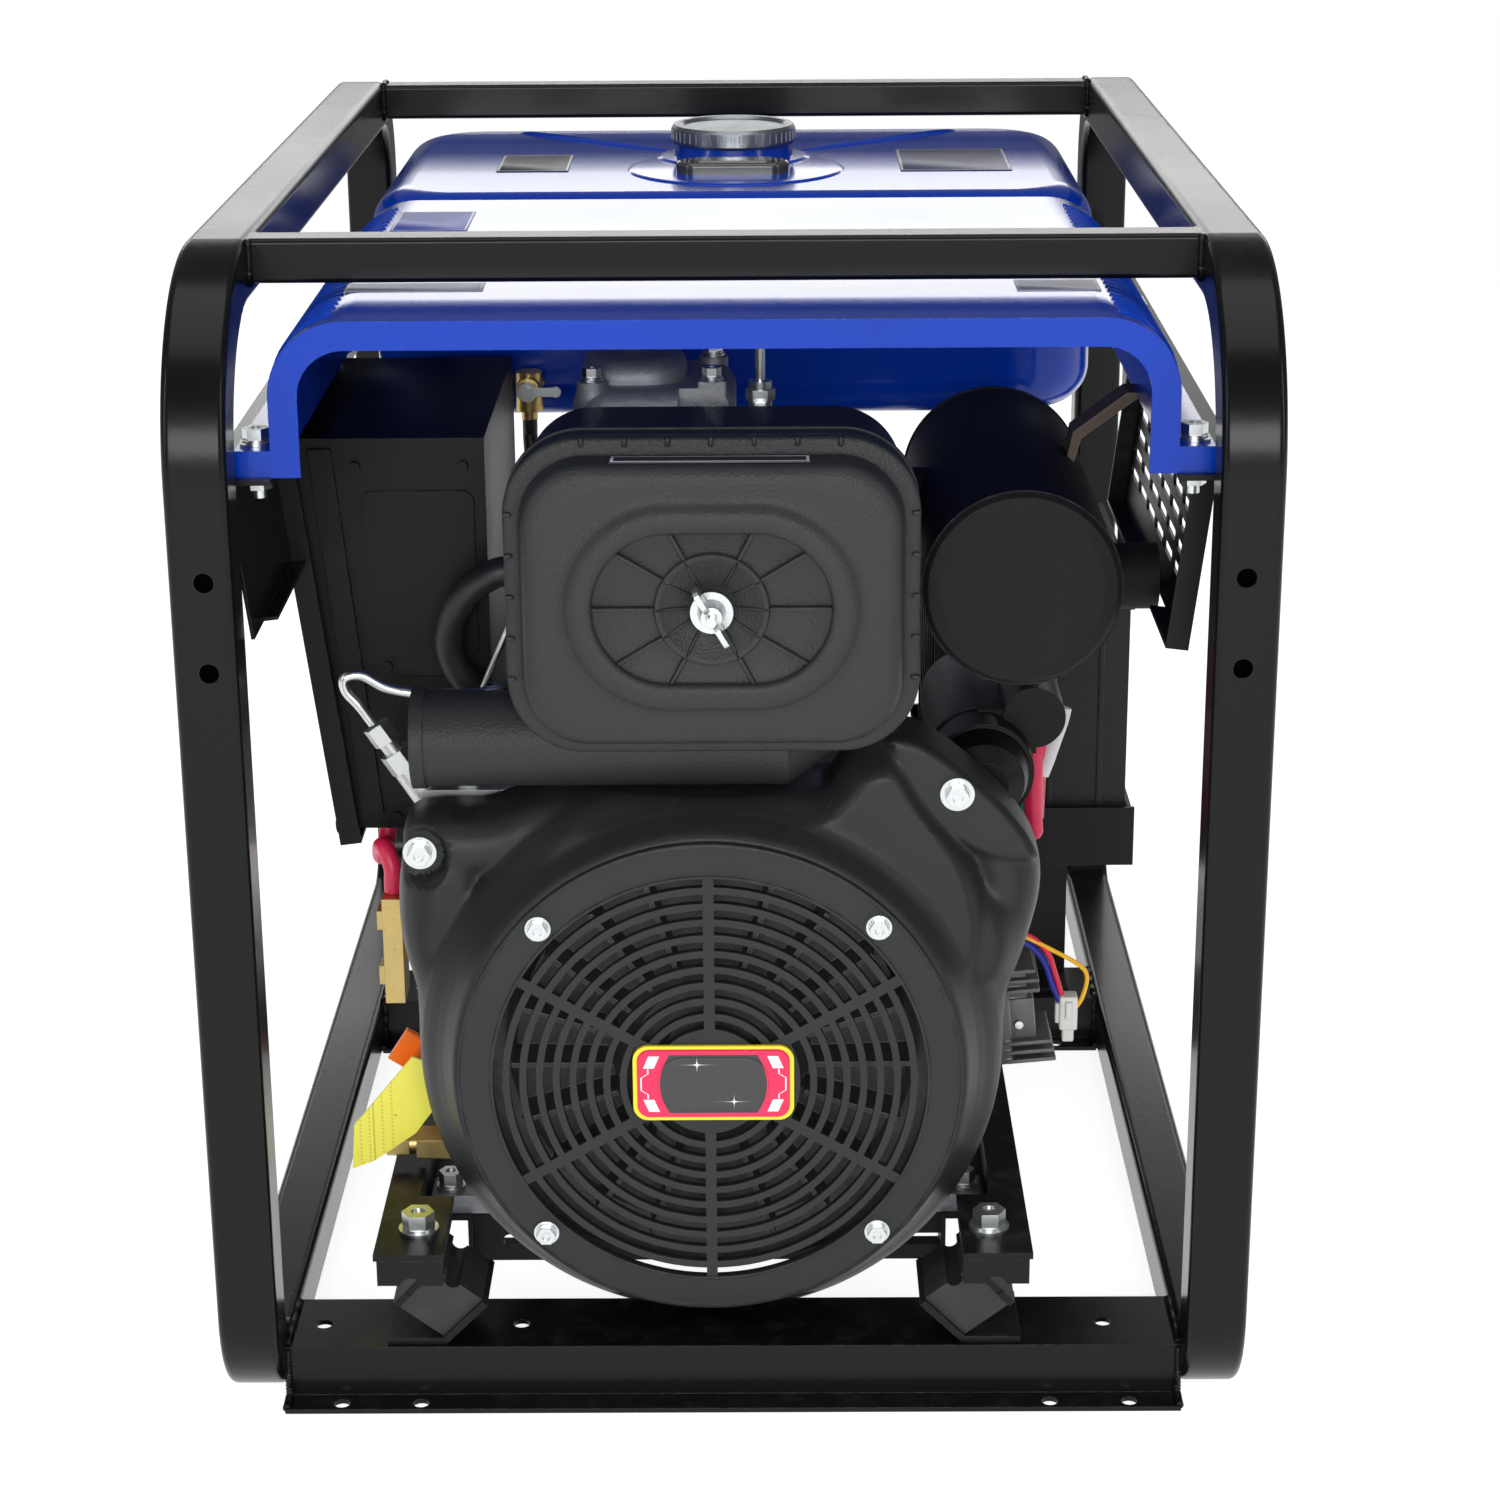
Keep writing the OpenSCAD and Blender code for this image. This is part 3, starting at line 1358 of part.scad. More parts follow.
module dipstick_tube() {
    difference() {
        at_stick() translate([0, 0, -12]) cylinder(r = 11, h = 64);
        at_stick() translate([0, 0, -4]) cylinder(r = 7, h = 70);
        box(-148, 0, 120, 240, 60, 260);
        box(-200, -140, 140, 160, 60, 140);
    }
}

module dipstick() {
    color([0.95, 0.3, 0.02]) at_stick() {
        translate([0, 0, 4]) cylinder(r = 2.5, h = 50);
        translate([0, 0, 36]) cylinder(r = 7 - shaft_play, h = 17);
        translate([0, 0, 52.4]) cylinder(r = 13, h = 12);
        translate([0, 0, 64.4]) linear_extrude(12) round_rect(-12, 12, -3, 3, 2.5);
    }
}

module oil_tag() {
    slab(139.5, 140.7) polygon([[-176, 164], [-196, 172], [-227, 134], [-222, 104],
        [-196, 122], [-176, 150]]);
    box(-184, -178, 140.7, 159.6, 148, 156);
}

side_loop_left();
side_loop_right();
top_front_bar();
top_rear_bar();
front_crossmember();
mid_crossmember();
side_rail_left();
muffler_guard();
battery_tray();
top_cover();
frame_bolts();
mount_brackets();
mount_rubbers();
engine_subframe();
crankcase();
cylinder_block();
cylinder_head();
rocker_cover();
injector();
fan_shroud();
fan_grille();
grille_badge();
shroud_bolts();
flywheel();
rotor();
stator_housing();
alternator_end();
air_cleaner_base();
air_cleaner_cover();
air_filter();
cleaner_stud();
wing_nut();
intake_elbow();
injection_pump();
injection_pipe();
speed_lever();
starter_motor();
regulator();
muffler();
exhaust_elbow();
fuel_tank();
fuel_cap();
fuel_gauge();
fuel_cock();
fuel_cock_lever();
hoses();
control_box();
control_panel();
panel_meter();
breaker_body();
breaker_switch();
start_key();
socket_bodies();
socket_lid_front();
socket_lid_rear();
battery();
battery_leads();
signal_leads();
engine_fittings();
dipstick();
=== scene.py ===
"""Looks of an open-frame portable generator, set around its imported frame.

Every piece is in metres in the frame's own axes: +Z up, -Y towards the fan, +X to the right.
"""
import json
import math

import bpy
import numpy as np
from mathutils import Matrix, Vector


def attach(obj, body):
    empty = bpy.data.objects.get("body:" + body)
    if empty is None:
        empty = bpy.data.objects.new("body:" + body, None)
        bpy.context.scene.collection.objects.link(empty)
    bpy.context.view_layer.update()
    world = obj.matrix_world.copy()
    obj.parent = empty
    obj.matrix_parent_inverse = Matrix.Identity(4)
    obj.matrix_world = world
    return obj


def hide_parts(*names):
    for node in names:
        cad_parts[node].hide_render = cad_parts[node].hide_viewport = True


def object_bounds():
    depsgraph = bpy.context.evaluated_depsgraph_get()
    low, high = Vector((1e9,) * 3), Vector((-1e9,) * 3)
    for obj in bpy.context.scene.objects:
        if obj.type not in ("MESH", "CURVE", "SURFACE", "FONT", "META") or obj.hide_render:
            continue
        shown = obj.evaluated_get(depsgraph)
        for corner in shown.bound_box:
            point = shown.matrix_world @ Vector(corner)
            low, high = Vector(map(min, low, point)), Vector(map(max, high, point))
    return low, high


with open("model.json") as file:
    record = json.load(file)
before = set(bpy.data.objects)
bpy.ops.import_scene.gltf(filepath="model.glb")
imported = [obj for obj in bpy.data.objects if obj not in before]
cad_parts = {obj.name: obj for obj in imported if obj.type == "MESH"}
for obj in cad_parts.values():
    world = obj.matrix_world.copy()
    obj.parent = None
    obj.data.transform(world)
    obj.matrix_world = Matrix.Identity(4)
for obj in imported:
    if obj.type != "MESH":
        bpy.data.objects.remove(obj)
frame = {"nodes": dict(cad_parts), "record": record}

bl_info = {
    "name": "Open-frame generator looks",
    "version": (1, 0, 0),
    "blender": (4, 5, 0),
    "location": "View3D > Sidebar > Generator",
    "description": "Finishes and moulded, piped and wired detail of an open-frame portable generator",
    "category": "Object",
}

CAD_BOX = [list(corner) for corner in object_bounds()]
FRONT = CAD_BOX[0][1]
CRANK = np.array([-0.012, 0.196])


def at(x, depth, z):
    """A point from its place across, its depth behind the front of the frame and its height, in mm."""
    return np.array([x / 1000, FRONT + depth / 1000, z / 1000])


def route(points):
    """The points of a route in mm, depth from the front, as points in metres."""
    p = np.array(points, float) / 1000
    p[:, 1] += FRONT
    return p


# ---------------------------------------------------------------- surfaces

def smooth_step(a, b, x):
    """0 below a and 1 above b, with the cubic 3t^2 - 2t^3 between."""
    t = np.clip((x - a) / (b - a), 0, 1)
    return t * t * (3 - 2 * t)


def eased(points, n):
    """Catmull-Rom curve through the points: n steps to each span, end points doubled."""
    p = np.asarray(points, float)
    q = np.vstack([p[:1], p, p[-1:]])
    s = np.linspace(0, 1, n, endpoint=False)[None, :, None]
    a, b, c, d = (q[i:len(p) - 1 + i, None, :] for i in range(4))
    line = 0.5 * (2 * b + (c - a) * s + (2 * a - 5 * b + 4 * c - d) * s ** 2
                  + (3 * b - a - 3 * c + d) * s ** 3)
    return np.vstack([line.reshape(-1, p.shape[1]), p[-1:]])


def grid_faces(rows, columns, round_rows=False, round_columns=False):
    """Quads of a grid whose point (i, j) has index i * columns + j; a round direction closes on itself."""
    i = np.arange(rows if round_rows else rows - 1)[:, None]
    j = np.arange(columns if round_columns else columns - 1)[None, :]
    k, m = (i + 1) % rows, (j + 1) % columns
    quads = np.stack(np.broadcast_arrays(i * columns + j, i * columns + m, k * columns + m,
                                         k * columns + j), -1)
    return quads.reshape(-1, 4)


def headings(line):
    """Unit direction of a line at each of its points, from the points on both sides."""
    t = np.gradient(line, axis=0)
    return t / np.linalg.norm(t, axis=1, keepdims=True)


def side_vectors(t):
    """A unit vector across each heading, carried along the line with the least turn."""
    first = np.cross(t[0], np.eye(3)[np.argmin(abs(t[0]))])
    sides = [first / np.linalg.norm(first)]
    for heading in t[1:]:
        v = sides[-1] - heading * (sides[-1] @ heading)
        sides.append(v / np.linalg.norm(v))
    return np.array(sides)


def swept(line, radius, flats):
    """Round tube: centre + r(s) (cos a u + sin a v), with u and v across the heading, both ends closed."""
    t = headings(line)
    u = side_vectors(t)
    v = np.cross(t, u)
    a = np.linspace(0, 2 * np.pi, flats, endpoint=False)[None, :, None]
    r = np.broadcast_to(np.asarray(radius, float), (len(line),))[:, None, None]
    ring = line[:, None] + r * (np.cos(a) * u[:, None] + np.sin(a) * v[:, None])
    points = np.vstack([ring.reshape(-1, 3), line[:1], line[-1:]])
    faces = grid_faces(len(line), flats, round_columns=True).tolist()
    k = np.arange(flats)
    last, end = len(line) * flats, (len(line) - 1) * flats
    faces += np.stack([np.full(flats, last), (k + 1) % flats, k], 1).tolist()
    faces += np.stack([np.full(flats, last + 1), end + k, end + (k + 1) % flats], 1).tolist()
    return points, faces


def tube(points, radii, flats):
    """Tube along a smooth route in mm, its radii in mm spread evenly over it."""
    line = eased(route(points), 8)
    along = np.interp(np.linspace(0, 1, len(line)), np.linspace(0, 1, len(radii)), radii) / 1000
    return swept(line, along, flats)


def revolved(profile, centre, axis, steps):
    """Profile (radius, distance) turned about an axis: centre + d axis + r (cos a u + sin a v)."""
    w = np.asarray(axis, float) / np.linalg.norm(axis)
    u = np.cross(w, np.eye(3)[np.argmin(abs(w))])
    u /= np.linalg.norm(u)
    v = np.cross(w, u)
    p = np.asarray(profile, float)
    a = np.linspace(0, 2 * np.pi, steps, endpoint=False)[None, :, None]
    ring = (np.asarray(centre) + p[:, 1, None, None] * w
            + p[:, 0, None, None] * (np.cos(a) * u + np.sin(a) * v))
    return ring.reshape(-1, 3), grid_faces(len(p), steps, round_columns=True).tolist()


def joined(*shapes):
    """Several (points, faces) shapes as one."""
    points, faces, start = [], [], 0
    for p, f in shapes:
        points.append(np.asarray(p, float))
        faces += [[int(i) + start for i in face] for face in f]
        start += len(p)
    return np.vstack(points), faces


def rounded_box(low, high, r, n=4):
    """Box with rounded edges: a sphere of radius r grown by the inner box, point by point."""
    low, high = np.asarray(low, float), np.asarray(high, float)
    rows, columns = 2 * n + 2, 4 * n + 4
    lat = np.concatenate([np.linspace(-np.pi / 2, 0, n + 1), np.linspace(0, np.pi / 2, n + 1)])
    lon = np.concatenate([np.linspace(0, np.pi / 2, n + 1) + k * np.pi / 2 for k in range(4)])
    la, lo = lat[:, None], lon[None, :]
    d = np.stack([np.cos(la) * np.cos(lo), np.cos(la) * np.sin(lo), np.sin(la) + 0 * lo], -1)
    k = np.repeat(np.arange(4), n + 1)
    corner = np.stack([np.where((k == 0) | (k == 3), 1, -1) * np.ones((rows, 1)),
                       np.where(k < 2, 1, -1) * np.ones((rows, 1)),
                       np.where(np.arange(rows)[:, None] > n, 1, -1) * np.ones((1, columns))], -1)
    inner = (high - low) / 2 - r
    points = (low + high) / 2 + corner * inner + r * d
    faces = grid_faces(rows, columns, round_columns=True).tolist()
    faces += [list(range(columns))[::-1], list(range((rows - 1) * columns, rows * columns))]
    return points.reshape(-1, 3), faces


def corner_cut(outline, times=2):
    """A closed outline with each corner cut at a quarter of its two edges, some times over."""
    p = np.asarray(outline, float)
    for _ in range(times):
        q = np.roll(p, -1, axis=0)
        p = np.stack([p * 0.75 + q * 0.25, p * 0.25 + q * 0.75], 1).reshape(-1, 2)
    return p


def inside_distance(x, z, outline):
    """Distance to a closed outline: least over its edges, positive inside by the count of crossings."""
    a, b = outline[:, None], np.roll(outline, -1, axis=0)[:, None]
    p = np.stack([x, z], -1).reshape(1, -1, 2)
    edge = b - a
    t = np.clip(((p - a) * edge).sum(-1) / (edge ** 2).sum(-1), 0, 1)
    gap = np.sqrt(((p - a - t[..., None] * edge) ** 2).sum(-1)).min(0)
    rise = edge[..., 1] + np.where(edge[..., 1] == 0, 1e-9, 0)
    cross = a[..., 0] + edge[..., 0] * (p[..., 1] - a[..., 1]) / rise
    crossed = ((a[..., 1] > p[..., 1]) != (b[..., 1] > p[..., 1])) & (p[..., 0] < cross)
    return np.where(crossed.sum(0) % 2, gap, -gap).reshape(x.shape)


def soft_most(k, *heights):
    """The greatest of several heights, rounded over about k where two meet: k log(sum(exp(h / k)))."""
    top = np.maximum.reduce(heights)
    return top + k * np.log(sum(np.exp((h - top) / k) for h in heights))


def grid_normals(grid):
    """Unit normals of a grid of points whose rows close on themselves, row direction x column direction."""
    down = np.gradient(grid, axis=0)
    along = np.roll(grid, -1, axis=1) - np.roll(grid, 1, axis=1)
    n = np.cross(down, along)
    return n / np.linalg.norm(n, axis=2, keepdims=True)


def ray_reach(turn, a, b, r):
    """Reach of a rounded rectangle of half sizes a, b and corner radius r along each direction: the
    side it meets, or the far root of the corner's circle."""
    c, s = abs(np.cos(turn)), abs(np.sin(turn))
    side, top = a / np.maximum(c, 1e-9), b / np.maximum(s, 1e-9)
    along = c * (a - r) + s * (b - r)
    arc = along + np.sqrt(np.maximum(along ** 2 - (a - r) ** 2 - (b - r) ** 2 + r ** 2, 0))
    return np.where(side * s <= b - r, side, np.where(top * c <= a - r, top, arc))


def nested(rows, columns, centre):
    """Points of nested rounded rectangles (a, b, r, depth), all on the same rays from the centre, in mm."""
    turn = np.linspace(0, 2 * np.pi, columns, endpoint=False)
    reach = np.array([ray_reach(turn, a, b, r) for a, b, r, _ in rows])
    depth = np.broadcast_to(np.array(rows)[:, 3:4], reach.shape)
    return np.stack([centre[0] + reach * np.cos(turn), depth, centre[1] + reach * np.sin(turn)], -1)


def turned_box(low, high, r, angle, centre):
    """A rounded box in mm, x along a ray from the centre at an angle, turned about the depth axis."""
    points, faces = rounded_box(low, high, r, 2)
    c, s = math.cos(angle), math.sin(angle)
    return np.stack([centre[0] + c * points[:, 0] - s * points[:, 2], points[:, 1],
                     centre[1] + s * points[:, 0] + c * points[:, 2]], -1), faces


def placed(shape):
    """A shape in mm, depth from the front, as a shape in metres."""
    return np.asarray(shape[0]) / 1000 + [0, FRONT, 0], shape[1]


def make_piece(name, shape, slot, material=None, stands_for=()):
    """A mesh from points and faces, riding on the generator, in its slot's finish or one of its own."""
    points, faces = shape
    mesh = bpy.data.meshes.new(name)
    mesh.from_pydata(np.asarray(points, float).tolist(), [], faces)
    mesh.validate()
    mesh.polygons.foreach_set("use_smooth", np.ones(len(mesh.polygons), bool))
    mesh.set_sharp_from_angle(angle=math.radians(40))
    mesh.materials.append(material or finish_of(slot))
    piece = bpy.data.objects.new(name, mesh)
    bpy.context.collection.objects.link(piece)
    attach(piece, "generator")
    if stands_for:
        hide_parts(*stands_for)


# ---------------------------------------------------------------- shader maths

class Wire:
    """One output socket of a shader; Python arithmetic on it adds the Math nodes."""

    def __init__(self, shader, socket):
        self.shader, self.socket = shader, socket

    def _with(self, operation, *others):
        return self.shader.node("Math", {"operation": operation}, dict(enumerate([self, *others])))

    def __add__(self, other): return self._with("ADD", other)
    def __mul__(self, other): return self._with("MULTIPLY", other)
    def __sub__(self, other): return self._with("SUBTRACT", other)
    def __truediv__(self, other): return self._with("DIVIDE", other)
    def __pow__(self, other): return self._with("POWER", other)
    __radd__, __rmul__ = __add__, __mul__

    def __rsub__(self, other):
        return self.shader.node("Math", {"operation": "SUBTRACT"}, {0: other, 1: self})

    def least(self, other): return self._with("MINIMUM", other)
    def most(self, other): return self._with("MAXIMUM", other)
    def size(self): return self._with("ABSOLUTE")
    def wave(self): return self._with("SINE")

    def step(self, low, high):
        """0 at low and 1 at high, smooth between; low may lie above high."""
        return self.shader.node("MapRange", {"interpolation_type": "SMOOTHSTEP"},
                                {"Value": self, "From Min": low, "From Max": high})


class Shader:
    """A material made of nodes, all of them from node()."""

    def __init__(self, name):
        self.material = bpy.data.materials.new(name)
        self.material.use_nodes = True
        self.tree = self.material.node_tree
        self.surface = self.tree.nodes["Principled BSDF"]
        self.place = self.node("TexCoord", output="Object")

    def node(self, kind, settings=None, sockets=None, output=0):
        """A node of one type, its settings first, then the values or links of its sockets."""
        made = self.tree.nodes.new("ShaderNode" + kind)
        for key, value in (settings or {}).items():
            setattr(made, key, value)
        for key, value in (sockets or {}).items():
            self.feed(made.inputs[key], value)
        return Wire(self, made.outputs[output])

    def feed(self, socket, value):
        """Links a wire to a socket, or sets the socket's own value."""
        if isinstance(value, Wire):
            self.tree.links.new(value.socket, socket)
        elif hasattr(value, "__len__") and len(value) == 3 and len(socket.default_value) == 4:
            socket.default_value = (*value, 1)
        else:
            socket.default_value = value

    def noise(self, scale, detail=3, rough=0.5, stretch=None):
        """Noise from 0 to 1 on the object's own coordinates, stretched if asked."""
        place = self.place
        if stretch:
            place = self.node("Mapping", None, {"Vector": place, "Scale": stretch})
        return self.node("TexNoise", None, {"Vector": place, "Scale": scale, "Detail": detail,
                                            "Roughness": rough}, "Fac")

    def mix(self, mask, a, b):
        """Colour a where the mask is 0, b where it is 1."""
        made = self.tree.nodes.new("ShaderNodeMix")
        made.data_type = "RGBA"
        self.feed(made.inputs[0], mask)
        self.feed(made.inputs[6], a)
        self.feed(made.inputs[7], b)
        return Wire(self, made.outputs[2])

    def clouded(self, mask, colour, low, high):
        """A colour times low where the mask is 0, times high where it is 1."""
        return self.mix(mask, [c * low for c in colour], [c * high for c in colour])

    def axes(self, vector=None):
        """The three coordinates of a vector, or of the object's own place, as wires."""
        split = self.node("SeparateXYZ", None, {0: vector or self.place})
        return [Wire(self, split.socket.node.outputs[i]) for i in range(3)]

    def soft_edges(self, radius):
        """The normal of edges rounded by a radius in metres."""
        return self.node("Bevel", {"samples": 4}, {"Radius": radius})

    def edge_mask(self, rounded, gain=6):
        """1 on the edges, from how far the rounded normal leans from the true one."""
        true = self.node("NewGeometry", output="Normal")
        lean = self.node("VectorMath", {"operation": "DOT_PRODUCT"}, {0: rounded, 1: true}, "Value")
        return ((1 - lean) * gain).least(1.0)

    def upward(self):
        """1 where the surface looks up."""
        return self.axes(self.node("NewGeometry", output="Normal"))[2].step(0.6, 1.0)

    def finish(self, colour, roughness, height=None, depth=0.0, normal=None, **fixed):
        """Feeds the surface and returns the material; depth is the height map's travel in metres."""
        self.feed(self.surface.inputs["Base Color"], colour)
        self.feed(self.surface.inputs["Roughness"], roughness)
        if height is not None:
            sockets = {"Height": height, "Distance": depth, "Strength": 1.0}
            if normal is not None:
                sockets["Normal"] = normal
            self.feed(self.surface.inputs["Normal"], self.node("Bump", None, sockets))
        for key, value in fixed.items():
            self.feed(self.surface.inputs[key.replace("_", " ")], value)
        return self.material


def enamel(name, colour, gloss, coat, wear=(0.07, 0.07, 0.075), peel=0.00002, dust=0.06, edge=0.0009):
    """Sprayed enamel: fine peel, thin dust on top faces, lighter rubbed edges."""
    s = Shader(name)
    rounded, cloud, fine = s.soft_edges(edge), s.noise(9, 4), s.noise(420, 2)
    settled = s.upward() * s.noise(55, 5, 0.7).step(0.45, 0.75) * dust
    rubbed = s.edge_mask(rounded) * s.noise(160, 4, 0.7).step(0.42, 0.7)
    tone = s.clouded(cloud, colour, 0.85, 1.15)
    tone = s.mix(settled, tone, (0.16, 0.155, 0.145))
    tone = s.mix(rubbed, tone, wear)
    rough = gloss + (cloud - 0.5) * 0.06 + settled * 0.25 + rubbed * 0.2
    return s.finish(tone, rough, s.noise(160, 2) + fine * 0.35, peel * 3, rounded,
                    Coat_Weight=coat, Coat_Roughness=max(0.05, gloss * 0.5), Coat_IOR=1.3, IOR=1.28)


def moulding(name, colour, gloss, grain=900, depth=0.00010):
    """Moulded plastic: fine leather grain, faint flow clouds, paler rubbed edges."""
    s = Shader(name)
    rounded = s.soft_edges(0.0012)
    cells = s.node("TexVoronoi", {"feature": "F1"}, {"Vector": s.place, "Scale": grain}, "Distance")
    grainy = cells + s.noise(grain * 0.7, 3)
    cloud = s.noise(12, 4, 0.6)
    pale = s.edge_mask(rounded, 4) * s.noise(90, 4).step(0.35, 0.75) * 0.5
    dust = s.upward() * s.noise(40, 5, 0.7).step(0.45, 0.8) * 0.12
    tone = s.clouded(cloud, colour, 0.8, 1.25)
    tone = s.mix(pale + dust, tone, (0.14, 0.14, 0.14))
    rough = gloss + (cloud - 0.5) * 0.12 + pale * 0.2 + cells * 0.06
    return s.finish(tone, rough, grainy, depth, rounded, IOR=1.38)


def casting(name, colour, gloss=0.48, pits=0.0004, metal=0.75):
    """Sand-cast alloy: soft lumps, small pits and dull stains in patches."""
    s = Shader(name)
    rounded = s.soft_edges(0.0015)
    lumps = s.noise(220, 4, 0.6)
    grit = s.noise(1400, 2)
    pit = s.node("TexVoronoi", None, {"Vector": s.place, "Scale": 480}, "Distance").step(0.25, 0.05)
    stained = s.noise(18, 6, 0.7).step(0.5, 0.72) * 0.6
    bright = s.edge_mask(rounded, 5) * 0.5
    tone = s.clouded(lumps, colour, 0.75, 1.2)
    tone = s.mix(stained, tone, (0.1, 0.09, 0.075))
    tone = s.mix(bright, tone, (0.6, 0.6, 0.6))
    rough = gloss + lumps * 0.15 + stained * 0.2 - bright * 0.15
    return s.finish(tone, rough, lumps + grit * 0.4 - pit * 0.3, pits, rounded, Metallic=metal)


def zinc(name, colour, gloss=0.24, tint=(0.62, 0.66, 0.68)):
    """Plated steel: bright, faintly yellow in clouds, with fine turning marks."""
    s = Shader(name)
    rounded = s.soft_edges(0.0004)
    cloud = s.noise(90, 4, 0.6)
    lines = s.noise(300, 3, 0.6, stretch=(1, 9, 1))
    worn = s.noise(500, 4).step(0.58, 0.75)
    tone = s.mix(cloud * 0.5, colour, tint)
    tone = s.mix(worn * 0.5, tone, [c * 0.45 for c in colour])
    return s.finish(tone, gloss + cloud * 0.12 + worn * 0.15, lines, 0.00004, rounded, Metallic=1.0)


def rubbery(name, colour, gloss):
    """Rubber or soft sleeve: matt, finely pebbled, with grey bloom in patches."""
    s = Shader(name)
    bloom = s.noise(60, 5, 0.65).step(0.45, 0.8) * 0.35
    pebble = s.noise(1300, 3, 0.6)
    tone = s.mix(bloom, colour, [0.5 * c + 0.06 for c in colour])
    return s.finish(tone, gloss + bloom * 0.3, pebble, 0.00009)


def leaf_paper(name):
    """Pleated filter paper: pale tan with fine fibres."""
    s = Shader(name)
    fibre = s.noise(700, 5, 0.7, stretch=(1, 0.2, 1))
    return s.finish(s.mix(fibre, (0.5, 0.36, 0.16), (0.78, 0.62, 0.34)), 0.85, fibre, 0.0001)


def badge_print(name, yellow, red, dark):
    """Printed badge bare of lettering: yellow border, red field with pale notches, dark middle."""
    s = Shader(name)
    x, _, z = s.axes()
    u, v = (x - (CRANK[0] + 0.002)) * 1000, (z - CRANK[1]) * 1000
    side, rise = u.size(), v.size()

    def outside(half_x, half_z, r):
        a, b = (side - (half_x - r)).most(0.0), (rise - (half_z - r)).most(0.0)
        return (a * a + b * b) ** 0.5 - r

    border = outside(44.6, 21.6, 7.5).step(-0.1, 0.1)
    bow = side + (rise * rise) / 62
    middle = bow.step(31.4, 31.1) * rise.step(18.6, 18.4)
    lean = side + rise * 0.42
    wedge = (lean - 42).size().step(3.3, 3.0) * (rise - 13.8).size().step(4.0, 3.7)
    line = (side - 42.2 + (rise.least(6.5) - rise.least(4)) * 1.6).size().step(0.5, 0.3) * rise.step(9.5, 9.3)
    star = 1 - middle * 0
    for cx, cz, r in ((-9.5, 12.5, 11), (12, -11, 9.5)):
        a, b = (u - cx).size(), (v - cz).size()
        star = star * ((a * b * 6 + a * 0.2 + b * 0.5) / r).step(0.2, 0.32)
    wash = s.noise(900, 2)
    tone = s.clouded(wash * 0.3, red, 1, 0.8)
    tone = s.mix(wedge.most(line), tone, (0.85, 0.85, 0.85))
    tone = s.mix(middle, tone, dark)
    tone = s.mix((1 - star) * middle, tone, (0.9, 0.9, 0.9))
    tone = s.mix(border, tone, yellow)
    return s.finish(tone, 0.3 + wash * 0.08, wash, 0.00002, s.soft_edges(0.0008), Coat_Weight=0.3,
                    Coat_Roughness=0.12)


def plated_fittings(name):
    """Yellow-passivated brackets and drain, with the bolts on the feet left bright."""
    s = Shader(name)
    z = s.axes()[2]
    cloud, worn = s.noise(90, 4, 0.6), s.noise(500, 4).step(0.58, 0.75)
    bright = z.step(0.0935, 0.0925) * z.step(0.0700, 0.0710)
    tone = s.mix(bright, (0.56, 0.43, 0.17), (0.62, 0.64, 0.64))
    tone = s.mix(cloud * 0.5, tone, s.mix(bright, (0.42, 0.30, 0.14), (0.5, 0.52, 0.5)))
    tone = s.mix(worn * 0.5, tone, (0.22, 0.19, 0.12))
    return s.finish(tone, 0.3 + cloud * 0.12 + worn * 0.15, s.noise(300, 3, 0.6), 0.00004,
                    s.soft_edges(0.0005), Metallic=1.0)


def bare_strip(name):
    """Narrow dark plate, bare but for a white border line."""
    s = Shader(name)
    x, y, _ = s.axes()
    a, b = (x + 0.0085).size() * 1000, (y - (FRONT + 0.0635)).size() * 1000
    line = (a - 54).most(b - 5.6).size().step(0.9, 0.7)
    field = s.mix(s.noise(400, 2), (0.02, 0.02, 0.025), (0.04, 0.04, 0.045))
    tone = s.mix(line, field, (0.8, 0.8, 0.8))
    return s.finish(tone, 0.35, s.noise(900, 2), 0.00001)


def tag_print(name, paper):
    """Yellow card with a ruled line and rows of faint dashes that spell nothing."""
    s = Shader(name)
    x, _, z = s.axes()
    rule = 1 - (x + 0.2215).size().step(0.0003, 0.0006)
    rows = 1 - ((x + 0.2270).size() - 0.0028).size().step(0.0004, 0.0008)
    more = 1 - ((x + 0.2130).size() - 0.0030).size().step(0.0004, 0.0008)
    dash = ((z + x * 0.6) * 2400).wave().step(-0.3, 0.3)
    ink = (rule * 0.5).most(rows.most(more) * dash * 0.35)
    return s.finish(s.mix(ink, paper, (0.22, 0.16, 0.03)), 0.5, s.noise(500, 2), 0.00002)


def bare_plate(name, low, high, field, border):
    """Printed plate bare of lettering: a plain field inside a thin border line, sizes in mm."""
    s = Shader(name)
    x, y, _ = s.axes()
    half_x, half_y = (high[0] - low[0]) / 2, (high[1] - low[1]) / 2
    a = (x * 1000 - (low[0] + high[0]) / 2).size() - half_x
    b = (y * 1000 - (low[1] + high[1]) / 2 - FRONT * 1000).size() - half_y
    line = (a.most(b) + 1.28).size().step(0.8, 0.64)
    wash = s.noise(300, 3)
    tone = s.mix(line, s.clouded(wash, field, 0.9, 1.1), border)
    return s.finish(tone, 0.3 + wash * 0.06, wash, 0.00001)


def meter_face(name):
    """Glossy black of the instrument frames, in faint clouds, under a clear coat."""
    s = Shader(name)
    return s.finish(s.mix(s.noise(300, 2), (0.03, 0.03, 0.03), (0.05, 0.05, 0.052)), 0.2,
                    s.noise(900, 2), 0.00002, s.soft_edges(0.0008), Coat_Weight=0.5, Coat_Roughness=0.05)


# ---------------------------------------------------------------- what a user may change

def colour_prop(name, text, value):
    return bpy.props.FloatVectorProperty(name=name, description=text, default=value, size=3, min=0,
                                         max=1, subtype="COLOR")


def length_prop(name, text, value, low, high):
    return bpy.props.FloatProperty(name=name, description=text, default=value, min=low, max=high,
                                   unit="LENGTH", subtype="DISTANCE")


